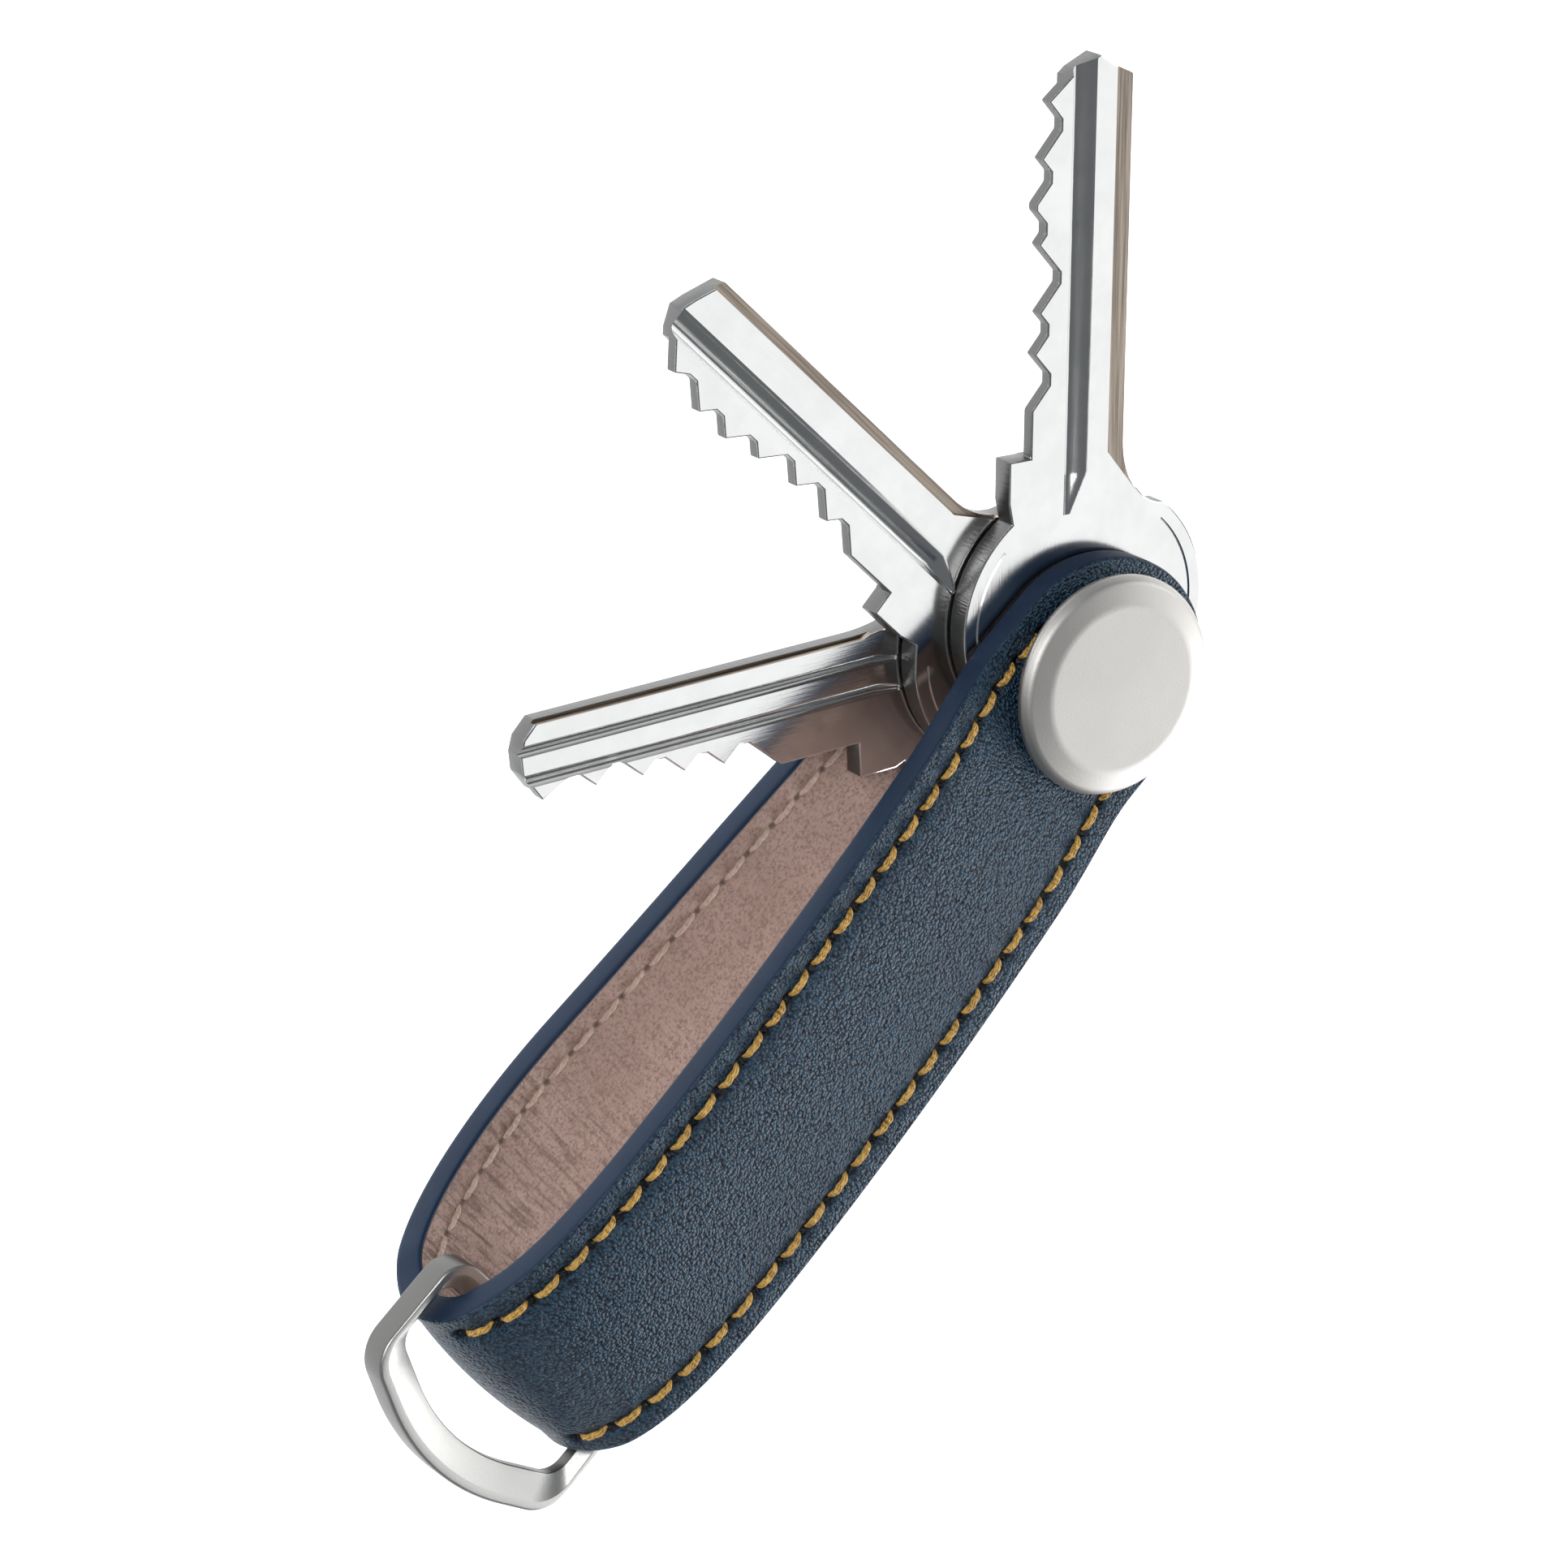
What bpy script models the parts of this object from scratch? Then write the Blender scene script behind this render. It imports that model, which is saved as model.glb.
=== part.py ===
"""Leather key organiser: a stitched strap looped round a stack of three keys on a locking pivot.

The pivot axis is Z and the origin is the middle of the front cap's face. The strap runs along -X
to its bend, which holds the D-ring. The keys fan out towards +Y. Everything is in metres.
"""

import math

import bmesh
import bpy
from mathutils import Matrix, Vector
from mathutils.geometry import interpolate_bezier

# Strap: outer leather, core sheet and lining, glued and sewn together.
STRAP_WIDTH = 0.0209
WAIST_WIDTH = 0.0199
WAIST_LENGTH = 0.0032
OUTER_LEATHER = 0.0010
CORE_SHEET = 0.0003
LINING = 0.0010
LAYER_GAP = 0.00005
EDGE_ROUND = 0.0003
CORE_INSET = 0.0008
LOOP_LENGTH = 0.0750
FRONT_BULGE = 0.0054
BACK_BULGE = 0.0022
ARM_RISE_FRONT = 0.0023
ARM_DROP_BACK = 0.0003

# Stitching: one row along each edge, turning round the pivot under the cap.
STITCH_INSET = 0.0025
THREAD_WIDTH = 0.0007
THREAD_HEIGHT = 0.0004
THREAD_SUNK = 0.00005
STITCH_CHANNEL_CLEARANCE = 0.0001
ROW_PAST_BEND = 0.0005

# Pivot: two round caps, a threaded sleeve, the locking screw and the washers.
CAP_DIAMETER = 0.01886
CAP_FACE_DIAMETER = 0.0142
CAP_HEIGHT = 0.0028
CAP_WIDEST_AT = 0.0016
CAP_FOOT_DIAMETER = 0.0164
SLEEVE_DIAMETER = 0.0056
THREAD_BORE = 0.0040
THREAD_CLEARANCE = 0.00015
SPIGOT_DIAMETER = 0.0036
SPIGOT_HEIGHT = 0.0013
COIN_SLOT_WIDTH = 0.0018
COIN_SLOT_DEPTH = 0.0012
COIN_SLOT_LENGTH = 0.0110
SLEEVE_SHORT_OF_CAP = 0.0006
STUD_REACH = 0.0072
SLEEVE_SOLID_TOP = 0.0030
FIT = 0.0001
RUNNING_FIT = 0.00025
STACK_GAP = 0.00005

KEY_THICKNESS = 0.0021
FRONT_WASHER = 0.0003
SPACER_WASHER = 0.0002
BACK_WASHER = 0.0003
TENSION_WASHER = 0.0004
SCREW_WASHER = 0.0003
WASHER_DIAMETER = 0.0130
SCREW_WASHER_DIAMETER = 0.0150

# Keys: distances along the blade and across it are measured from the pivot axis.
KEY_HEAD_LENGTH = 0.0222
KEY_HEAD_WIDTH = 0.0240
KEY_HEAD_OFFSET = 0.0050
KEY_LONGEST = 0.0520
KEY_STOP_AT = 0.0191
KEY_STOP_LENGTH = 0.0035
KEY_FILLET = 0.0040
KEY_EDGE_BEVEL = 0.00012
BITTING_SLOPE = 0.87
BITTING_FLAT = 0.0009
BITTING_THICKNESS = 0.0011
BITTING_DEPTH = 0.0032
GROOVE_START = 0.0172
GROOVE_RUN_OUT = 0.0034
STEP_START = 0.0185

# D-ring: a bar inside the strap's bend, two arms and a wide bow.
RING_BAR_FROM_BEND = 0.0036
RING_LEVEL = -0.0033
RING_HEIGHT = 0.0028
RING_INNER_HEIGHT = 0.00114
RING_RIM = 0.0006
RING_EDGE = 0.00025
RING_BAR = 0.0024
RING_ARM = 0.0014
RING_SIDE_CLEARANCE = 0.0002
RING_BOW_REACH = 0.0131
RING_BOW = 0.0032
RING_BOW_ANGLE = math.radians(22)
RING_OUTER_BOW_RADIUS = 0.0200
RING_INNER_BOW_RADIUS = 0.0170
RING_OUTER_CORNERS = (0.0026, 0.0036)
RING_INNER_CORNERS = (0.0012, 0.0021)

CIRCLE_STEPS = 40
HOLE_STEPS = 28

# Worked out from the sizes above. Heights are measured from the strap's face under the front cap.
STRAP_THICKNESS = OUTER_LEATHER + CORE_SHEET + LINING + 2 * LAYER_GAP
STACK_PIECES = (
    ("front_washer", FRONT_WASHER),
    ("key_1", KEY_THICKNESS),
    ("front_spacer_washer", SPACER_WASHER),
    ("key_2", KEY_THICKNESS),
    ("back_spacer_washer", SPACER_WASHER),
    ("key_3", KEY_THICKNESS),
    ("back_washer", BACK_WASHER),
    ("tension_washer", TENSION_WASHER),
)
STACK_HEIGHT = sum(height for _, height in STACK_PIECES) + STACK_GAP * (len(STACK_PIECES) + 1)
ARM_GAP = STACK_HEIGHT
BACK_FACE = -(2 * STRAP_THICKNESS + ARM_GAP)
SCREW_SEAT = BACK_FACE - STACK_GAP - SCREW_WASHER - STACK_GAP
STITCH_ROW = STRAP_WIDTH / 2 - STITCH_INSET
ROW_END = -LOOP_LENGTH - ROW_PAST_BEND
STUD_DIAMETER = THREAD_BORE - 2 * THREAD_CLEARANCE
RING_BAR_X = RING_BAR_FROM_BEND - LOOP_LENGTH
RING_EYE_WIDTH = STRAP_WIDTH + 2 * RING_SIDE_CLEARANCE

SATIN_STEEL = ((0.62, 0.60, 0.57), 0.42, 1.0)
PLATED_STEEL = ((0.72, 0.72, 0.73), 0.18, 1.0)
SPRING_STEEL = ((0.45, 0.45, 0.46), 0.35, 1.0)
WHITE_NYLON = ((0.80, 0.80, 0.77), 0.50, 0.0)
NAVY_LEATHER = ((0.030, 0.055, 0.090), 0.55, 0.0)
PINK_LINING = ((0.37, 0.25, 0.20), 0.65, 0.0)
FIBRE_CORE = ((0.20, 0.17, 0.13), 0.80, 0.0)
GOLD_THREAD = ((0.55, 0.33, 0.08), 0.60, 0.0)
TAN_THREAD = ((0.48, 0.36, 0.28), 0.60, 0.0)


def clear_scene():
    for old in list(bpy.data.objects):
        bpy.data.objects.remove(old)


def material(name, finish):
    """A Principled material of the piece's own, from (colour, roughness, metallic)."""
    colour, roughness, metallic = finish
    made = bpy.data.materials.new(name)
    made.use_nodes = True
    shader = made.node_tree.nodes["Principled BSDF"]
    shader.inputs["Base Color"].default_value = (*colour, 1.0)
    shader.inputs["Roughness"].default_value = roughness
    shader.inputs["Metallic"].default_value = metallic
    return made


def solid(name, shape, finish=None, smooth=30):
    """Turns a bmesh into an object under the pivot frame; without a finish it is a cutter."""
    bmesh.ops.recalc_face_normals(shape, faces=shape.faces)
    mesh = bpy.data.meshes.new(name)
    shape.to_mesh(mesh)
    shape.free()
    mesh.shade_smooth()
    mesh.set_sharp_from_angle(angle=math.radians(smooth))
    made = bpy.data.objects.new(name, mesh)
    bpy.context.scene.collection.objects.link(made)
    made.parent = pivot_frame
    if finish:
        mesh.materials.append(material(name, finish))
    else:
        made.hide_render = True
        made.display_type = "WIRE"
    return made


def cut(target, cutter):
    modifier = target.modifiers.new(cutter.name, "BOOLEAN")
    modifier.operation = "DIFFERENCE"
    modifier.object = cutter


def loft(rings, closed=False):
    """A bmesh skinned over rings of equal length; an open one gets flat ends."""
    shape = bmesh.new()
    rows = [[shape.verts.new(point) for point in ring] for ring in rings]
    pairs = list(zip(rows, rows[1:]))
    if closed:
        pairs.append((rows[-1], rows[0]))
    else:
        shape.faces.new(rows[0])
        shape.faces.new(rows[-1])
    for one, other in pairs:
        for i in range(len(one)):
            j = (i + 1) % len(one)
            shape.faces.new((one[i], one[j], other[j], other[i]))
    return shape


def prism(outline, low, high):
    """An upright bmesh prism over an outline in X and Y."""
    return loft([[(x, y, z) for x, y in outline] for z in (low, high)])


def circle(radius, steps=HOLE_STEPS):
    turns = (2 * math.pi * (i + 0.5) / steps for i in range(steps))
    return [(radius * math.cos(a), radius * math.sin(a)) for a in turns]


def turned(profile, steps=CIRCLE_STEPS):
    """A bmesh turned round Z from (radius, height) points; an end on the axis closes in a point."""
    shape = bmesh.new()
    rows = []
    for radius, height in profile:
        if radius == 0:
            rows.append([shape.verts.new((0, 0, height))] * steps)
        else:
            rows.append([shape.verts.new((x, y, height)) for x, y in circle(radius, steps)])
    on_axis = profile[0][0] == 0
    pairs = list(zip(rows, rows[1:])) if on_axis else list(zip(rows, rows[1:] + rows[:1]))
    for one, other in pairs:
        for i in range(steps):
            j = (i + 1) % steps
            corners = dict.fromkeys((one[i], one[j], other[j], other[i]))
            shape.faces.new(tuple(corners))
    return shape


def filleted(points, radii, steps):
    """A closed outline whose corners are arcs of the radii given."""
    outline = []
    for i, corner in enumerate(points):
        before = Vector(points[i - 1]) - Vector(corner)
        after = Vector(points[(i + 1) % len(points)]) - Vector(corner)
        before.normalize()
        after.normalize()
        half = before.angle(after) / 2
        middle = Vector(corner) + (before + after).normalized() * (radii[i] / math.sin(half))
        start = Vector(corner) + before * (radii[i] / math.tan(half)) - middle
        end = Vector(corner) + after * (radii[i] / math.tan(half)) - middle
        sweep = start.angle_signed(end)
        for step in range(steps + 1):
            outline.append(middle + Matrix.Rotation(-sweep * step / steps, 2) @ start)
    return [(p.x, p.y) for p in outline]


# --- Strap -----------------------------------------------------------------------------------


def towards(degrees, length):
    angle = math.radians(degrees)
    return Vector((length * math.cos(angle), 0, length * math.sin(angle)))


def strap_line():
    """Places along the strap's mid-thickness: (position, outward normal), front end to back end."""
    middle = STRAP_THICKNESS / 2
    front = -middle
    back = BACK_FACE + middle
    flat_end = -0.0083
    arm_start = -0.0165
    arm_middle = -LOOP_LENGTH * 0.6627
    knots = (
        (Vector((flat_end, 0, front)), 180, 0, 0.0012),
        (Vector((arm_start, 0, front + ARM_RISE_FRONT)), 172.5, 0.0050, 0.0095),
        (Vector((arm_middle, 0, front + FRONT_BULGE)), 178, 0.0106, 0.0118),
        (Vector((-LOOP_LENGTH, 0, (front + back) / 2 + 0.0025)), 264, 0.0088, 0.0074),
        (Vector((arm_middle, 0, back - BACK_BULGE)), 364, 0.0141, 0.0135),
        (Vector((arm_start, 0, back - ARM_DROP_BACK)), 364, 0.0132, 0.0030),
        (Vector((flat_end, 0, back)), 360, 0.0028, 0),
    )
    counts = (6, 7, 18, 18, 7, 4)
    line = []
    for (start, leave, _, reach), (end, arrive, back_reach, _), count in zip(
        knots, knots[1:], counts
    ):
        points = interpolate_bezier(
            start, start + towards(leave, reach), end - towards(arrive, back_reach), end, count + 1
        )
        line += [p.copy() for p in points[:-1]]
    line.append(knots[-1][0])
    normals = [Vector((0, 0, 1))]
    for before, after in zip(line, line[2:]):
        along = (after - before).normalized()
        normals.append(Vector((along.z, 0, -along.x)))
    normals.append(Vector((0, 0, -1)))
    places = list(zip(line, normals))
    round_end = [math.radians(12 * i) for i in range(8)]
    ahead = [STRAP_WIDTH / 2 * math.sin(a) for a in round_end]
    ahead = [flat_end / 2] + ahead
    lead_in = [(Vector((x, 0, front)), Vector((0, 0, 1))) for x in reversed(ahead)]
    lead_out = [(Vector((x, 0, back)), Vector((0, 0, -1))) for x in ahead]
    return lead_in + places + lead_out


def half_width(x):
    """Half the strap's width: a half circle round the pivot, full width, then a waist in the bend."""
    full = STRAP_WIDTH / 2
    if x > 0:
        return math.sqrt(full * full - x * x)
    share = min(max(1 - (LOOP_LENGTH + x) / WAIST_LENGTH, 0), 1)
    return full - (STRAP_WIDTH - WAIST_WIDTH) / 2 * share * share * (3 - 2 * share)


def strap_layer(name, low, high, finish, inset=0.0, round_low=0.0, round_high=0.0):
    """One layer, between two offsets from the mid-thickness, with its long corners eased."""
    rings = []
    for place, normal in strap_line():
        side = half_width(place.x) - inset
        section = (
            (-side, low + round_low),
            (-side + round_low, low),
            (side - round_low, low),
            (side, low + round_low),
            (side, high - round_high),
            (side - round_high, high),
            (-side + round_high, high),
            (-side, high - round_high),
        )
        section = list(dict.fromkeys(section))
        rings.append([place + normal * out + Vector((0, y, 0)) for y, out in section])
    layer = solid(name, loft(rings), finish)
    bore = SLEEVE_DIAMETER / 2 + RUNNING_FIT
    for end, level in (("front", 0), ("back", BACK_FACE)):
        hole = prism(circle(bore), level - STRAP_THICKNESS * 2, level + STRAP_THICKNESS * 2)
        cut(layer, solid(f"{name}_{end}_hole_cutter", hole))
    return layer


def stitch_route(arm):
    """Places of a row on the mid-thickness: in along one edge, round the pivot, and back out."""
    line = strap_line()
    halves = [((a + b) / 2, (m + n).normalized()) for (a, m), (b, n) in zip(line, line[1:])]
    facing = 1 if arm == "front" else -1
    places = [p for p in halves if ROW_END <= p[0].x <= 0 and p[1].z * facing > 0]
    places.sort(key=lambda place: place[0].x)
    level = places[-1][0].z
    normal = places[-1][1]
    out = [(place + Vector((0, STITCH_ROW, 0)), n) for place, n in places]
    turn = []
    for i in range(1, 12):
        a = math.pi / 2 - math.pi * i / 12
        turn.append((Vector((STITCH_ROW * math.cos(a), STITCH_ROW * math.sin(a), level)), normal))
    home = [(place - Vector((0, STITCH_ROW, 0)), n) for place, n in reversed(places)]
    return out + turn + home


def ribbon(route, width, low, high, overrun=0.0):
    """A band of the given width along a route, between two offsets along its normals."""
    points = [place for place, _ in route]
    points[0] = points[0] + (points[0] - points[1]).normalized() * overrun
    points[-1] = points[-1] + (points[-1] - points[-2]).normalized() * overrun
    rings = []
    for i, (point, (_, normal)) in enumerate(zip(points, route)):
        ahead = points[min(i + 1, len(points) - 1)] - points[max(i - 1, 0)]
        side = normal.cross(ahead).normalized() * (width / 2)
        rings.append(
            [
                point - side + normal * low,
                point + side + normal * low,
                point + side + normal * high,
                point - side + normal * high,
            ]
        )
    return loft(rings)


def stitch_row(arm, layer, face, finish, name):
    """The thread of one row in its channel; face is +1 on the outer leather, -1 on the lining."""
    route = stitch_route(arm)
    surface = STRAP_THICKNESS / 2
    top = surface - THREAD_SUNK
    bottom = top - THREAD_HEIGHT
    floor = bottom - STITCH_CHANNEL_CLEARANCE
    channel_width = THREAD_WIDTH + 2 * STITCH_CHANNEL_CLEARANCE
    solid(name, ribbon(route, THREAD_WIDTH, face * bottom, face * top), finish)
    above = surface + THREAD_HEIGHT
    channel = ribbon(route, channel_width, face * floor, face * above, STITCH_CHANNEL_CLEARANCE * 2)
    cut(layer, solid(f"{name}_channel_cutter", channel))


def strap():
    top = STRAP_THICKNESS / 2
    outer_low = top - OUTER_LEATHER
    lining_high = -top + LINING
    outer = strap_layer("outer_leather", outer_low, top, NAVY_LEATHER, round_high=EDGE_ROUND)
    lining = strap_layer("lining_leather", -top, lining_high, PINK_LINING, round_low=EDGE_ROUND)
    core_low = lining_high + LAYER_GAP
    strap_layer("core_sheet", core_low, core_low + CORE_SHEET, FIBRE_CORE, inset=CORE_INSET)
    for arm in ("front", "back"):
        stitch_row(arm, outer, 1, GOLD_THREAD, f"{arm}_top_thread")
        stitch_row(arm, lining, -1, TAN_THREAD, f"{arm}_bobbin_thread")


# --- Pivot -----------------------------------------------------------------------------------


def cap_profile():
    """(radius, height above its seat) down the outside of a cap, from its face to its foot."""
    rim = CAP_DIAMETER / 2
    face = CAP_FACE_DIAMETER / 2
    foot = CAP_FOOT_DIAMETER / 2
    shoulder = CAP_HEIGHT - 0.0005
    return [
        (0, CAP_HEIGHT),
        (face - 0.0002, CAP_HEIGHT),
        (face, CAP_HEIGHT - 0.00008),
        (rim - 0.0006, shoulder),
        (rim - 0.0002, shoulder - 0.0003),
        (rim, CAP_WIDEST_AT),
        (rim - 0.0001, CAP_WIDEST_AT - 0.0006),
        (foot, 0),
    ]


def front_cap():
    socket = SPIGOT_DIAMETER / 2 + FIT
    roof = STACK_GAP + SPIGOT_HEIGHT + FIT
    profile = [(r, h + STACK_GAP) for r, h in cap_profile()]
    profile[0] = (0, CAP_HEIGHT)
    profile = [(r, min(h, CAP_HEIGHT)) for r, h in profile]
    profile += [(socket, STACK_GAP), (socket, roof), (0, roof)]
    solid("front_cap", turned(profile), SATIN_STEEL)


def threaded_sleeve():
    outer = SLEEVE_DIAMETER / 2
    spigot = SPIGOT_DIAMETER / 2
    bore = THREAD_BORE / 2
    bottom = BACK_FACE + SLEEVE_SHORT_OF_CAP
    profile = [
        (0, SPIGOT_HEIGHT),
        (spigot, SPIGOT_HEIGHT),
        (spigot, 0),
        (outer, 0),
        (outer, bottom),
        (bore, bottom),
        (bore, -SLEEVE_SOLID_TOP),
        (0, -SLEEVE_SOLID_TOP),
    ]
    solid("threaded_sleeve", turned(profile, HOLE_STEPS), SATIN_STEEL)


def locking_screw():
    stud = STUD_DIAMETER / 2
    tip = STUD_REACH
    profile = [(0, tip), (stud - 0.0003, tip), (stud, tip - 0.0003), (stud, 0)]
    profile += [(r, -h) for r, h in reversed(cap_profile())]
    screw = solid("locking_screw", turned(profile), SATIN_STEEL)
    screw.location.z = SCREW_SEAT
    slot = [
        (x * COIN_SLOT_WIDTH / 2, y * COIN_SLOT_LENGTH / 2)
        for x, y in ((-1, -1), (1, -1), (1, 1), (-1, 1))
    ]
    cutter = solid("coin_slot_cutter", prism(slot, -2 * CAP_HEIGHT, COIN_SLOT_DEPTH))
    cutter.location.z = SCREW_SEAT - CAP_HEIGHT
    cut(screw, cutter)


def washer(name, top, height, diameter, finish, dish=0.0):
    hole = SLEEVE_DIAMETER / 2 + RUNNING_FIT
    rim = diameter / 2
    middle = (hole + rim) / 2
    profile = [
        (hole, 0),
        (middle, -dish),
        (rim, 0),
        (rim, -height + dish),
        (middle, -height),
        (hole, -height + dish),
    ]
    made = solid(name, turned(profile, HOLE_STEPS), finish)
    made.location.z = top
    return made


# --- Keys ------------------------------------------------------------------------------------

KEYS = {
    "key_1": {
        "turn": 48.2,
        "edge": 0.0057,
        "back": -0.0039,
        "stop": 0.0078,
        "tip": ((0.0518, -0.0003), (0.0508, 0.0019), (0.0485, 0.0047)),
        "tip_back": ((0.0498, -0.0039), (0.0508, -0.0018)),
        "first_cut": 0.0465,
        "pitch": 0.00420,
        "depths": (0.0023, 0.0014, 0.0010, 0.0025, 0.0014, 0.0017),
        "grooves": ((0.0000, 0.00235, 0.0008),),
        "step": (0.0019, 0.0005),
    },
    "key_2": {
        "turn": 94.4,
        "edge": 0.0057,
        "back": -0.0036,
        "stop": 0.0078,
        "tip": ((0.0519, 0.0003), (0.0511, 0.0020), (0.0489, 0.0045)),
        "tip_back": ((0.0500, -0.0036), (0.0514, -0.0009)),
        "first_cut": 0.0472,
        "pitch": 0.00405,
        "depths": (0.0019, 0.0013, 0.0016, 0.0025, 0.0025, 0.0017),
        "grooves": ((0.0002, 0.0024, 0.0008),),
        "step": (0.0010, 0.0004),
    },
    "key_3": {
        "turn": 141.2,
        "edge": 0.0033,
        "back": -0.0058,
        "stop": 0.0063,
        "tip": ((0.0511, -0.0032), (0.0510, -0.0016), (0.0493, 0.0009)),
        "tip_back": ((0.0494, -0.0058), (0.0507, -0.0045)),
        "first_cut": 0.0462,
        "pitch": 0.00400,
        "depths": (0.0037, 0.0038, 0.0032, 0.0027, 0.0026),
        "grooves": ((-0.00405, -0.00305, 0.0006), (-0.00155, -0.0004, 0.0006)),
        "step": (0.00025, 0.0007),
    },
}


def bitting(key):
    """The cut edge from the tip towards the head: flat-bottomed notches with sloping flanks."""
    edge = key["edge"]
    half = BITTING_FLAT / 2
    cuts = [(key["first_cut"] - i * key["pitch"], d) for i, d in enumerate(key["depths"])]
    points = []
    for i, (along, depth) in enumerate(cuts):
        points += [(along + half, edge - depth), (along - half, edge - depth)]
        flank_top = along - half - depth / BITTING_SLOPE
        if i + 1 == len(cuts):
            points.append((flank_top, edge))
            continue
        following, next_depth = cuts[i + 1]
        gap = along - following - BITTING_FLAT
        rise = (gap * BITTING_SLOPE + depth - next_depth) / 2
        if rise <= depth:
            points.append((along - half - rise / BITTING_SLOPE, edge - depth + rise))
        else:
            points.append((flank_top, edge))
            points.append((following + half + next_depth / BITTING_SLOPE, edge))
    return points


def head_point(angle):
    return (
        KEY_HEAD_OFFSET + KEY_HEAD_LENGTH / 2 * math.cos(angle),
        KEY_HEAD_WIDTH / 2 * math.sin(angle),
    )


def key_outline(key):
    edge = key["edge"]
    back = key["back"]
    stop = key["stop"]
    foot = KEY_STOP_AT - KEY_STOP_LENGTH
    outline = list(key["tip"]) + bitting(key)
    outline += [(KEY_STOP_AT, edge), (KEY_STOP_AT, stop), (foot, stop)]
    start = math.asin((stop - 0.0004) / (KEY_HEAD_WIDTH / 2))
    end = 2 * math.pi - math.asin((KEY_FILLET - back) / (KEY_HEAD_WIDTH / 2))
    steps = 30
    outline += [head_point(start + (end - start) * i / steps) for i in range(steps + 1)]
    x, y = outline[-1]
    for i in range(1, 6):
        a = math.pi / 2 * i / 5
        outline.append((x + (KEY_STOP_AT - x) * (1 - math.cos(a)), y + (back - y) * math.sin(a)))
    return outline + list(key["tip_back"])


def groove(low, high, depth, top):
    """A milled groove: a hollow, steeper on its high side, that runs out near the head."""
    rings = []
    for along, deep, narrow in (
        (GROOVE_START - GROOVE_RUN_OUT, 0.1, 0.7),
        (GROOVE_START, 1.0, 0.0),
        (KEY_LONGEST + 0.001, 1.0, 0.0),
    ):
        left = low + (high - low) * narrow
        hollow = []
        for i in range(8):
            share = i / 7
            sink = depth * deep * math.sin(math.pi * share**1.4)
            hollow.append((along, left + (high - left) * share, top - sink))
        lid = [(along, high, top + depth), (along, left, top + depth)]
        rings.append(hollow + lid)
    return loft(rings)


def key_piece(name, top, finish):
    key = KEYS[name]
    bottom = top - KEY_THICKNESS
    made = solid(name, prism(key_outline(key), bottom, top), finish)
    made.rotation_euler.z = math.radians(key["turn"])
    bevel = made.modifiers.new("edges", "BEVEL")
    bevel.width = KEY_EDGE_BEVEL
    bevel.segments = 1
    bevel.limit_method = "ANGLE"
    bevel.angle_limit = math.radians(60)
    hole = SLEEVE_DIAMETER / 2 + RUNNING_FIT
    cutters = [("hole", prism(circle(hole), bottom - FIT, top + FIT))]
    for i, (low, high, depth) in enumerate(key["grooves"]):
        cutters.append((f"groove_{i + 1}", groove(low, high, depth, top)))
    width, depth = key["step"]
    beyond = KEY_LONGEST + 0.001
    outside = key["back"] - 0.0060
    shelf = [(STEP_START - 0.0036, outside), (beyond, outside)]
    shelf += [(beyond, key["back"] + width), (STEP_START, key["back"] + width)]
    shelf += [(STEP_START - 0.0036, key["back"] - 0.0010)]
    cutters.append(("step", prism(shelf, top - depth, top + FIT)))
    milled = key["edge"] - BITTING_DEPTH
    relief = [(KEY_STOP_AT, milled), (beyond, milled)]
    relief += [(beyond, key["edge"] + 0.001), (KEY_STOP_AT, key["edge"] + 0.001)]
    cutters.append(("relief", prism(relief, bottom - FIT, top - BITTING_THICKNESS)))
    for part, shape in cutters:
        cutter = solid(f"{name}_{part}_cutter", shape)
        cutter.rotation_euler.z = made.rotation_euler.z
        cut(made, cutter)


def stack():
    """Washers and keys on the sleeve, from the front arm down to the back arm."""
    level = -STRAP_THICKNESS
    for name, height in STACK_PIECES:
        level -= STACK_GAP
        if name in KEYS:
            key_piece(name, level, PLATED_STEEL)
        elif name == "tension_washer":
            washer(name, level, height, WASHER_DIAMETER, SPRING_STEEL, dish=0.0001)
        else:
            washer(name, level, height, WASHER_DIAMETER, WHITE_NYLON)
        level -= height
    washer(
        "screw_washer", BACK_FACE - STACK_GAP, SCREW_WASHER, SCREW_WASHER_DIAMETER, WHITE_NYLON
    )


# --- D-ring ----------------------------------------------------------------------------------


def ring_outline(bar_side, half, bow, radius, corners):
    """A D outline in X and Y from the bar's side, half width, bow's farthest point and radii."""
    apex = bow + radius - radius / math.cos(RING_BOW_ANGLE)
    knee = apex + half * math.tan(RING_BOW_ANGLE)
    points = ((bar_side, half), (bar_side, -half), (knee, -half), (apex, 0), (knee, half))
    radii = (corners[0], corners[0], corners[1], radius, corners[1])
    return filleted(points, radii, 8)


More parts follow.
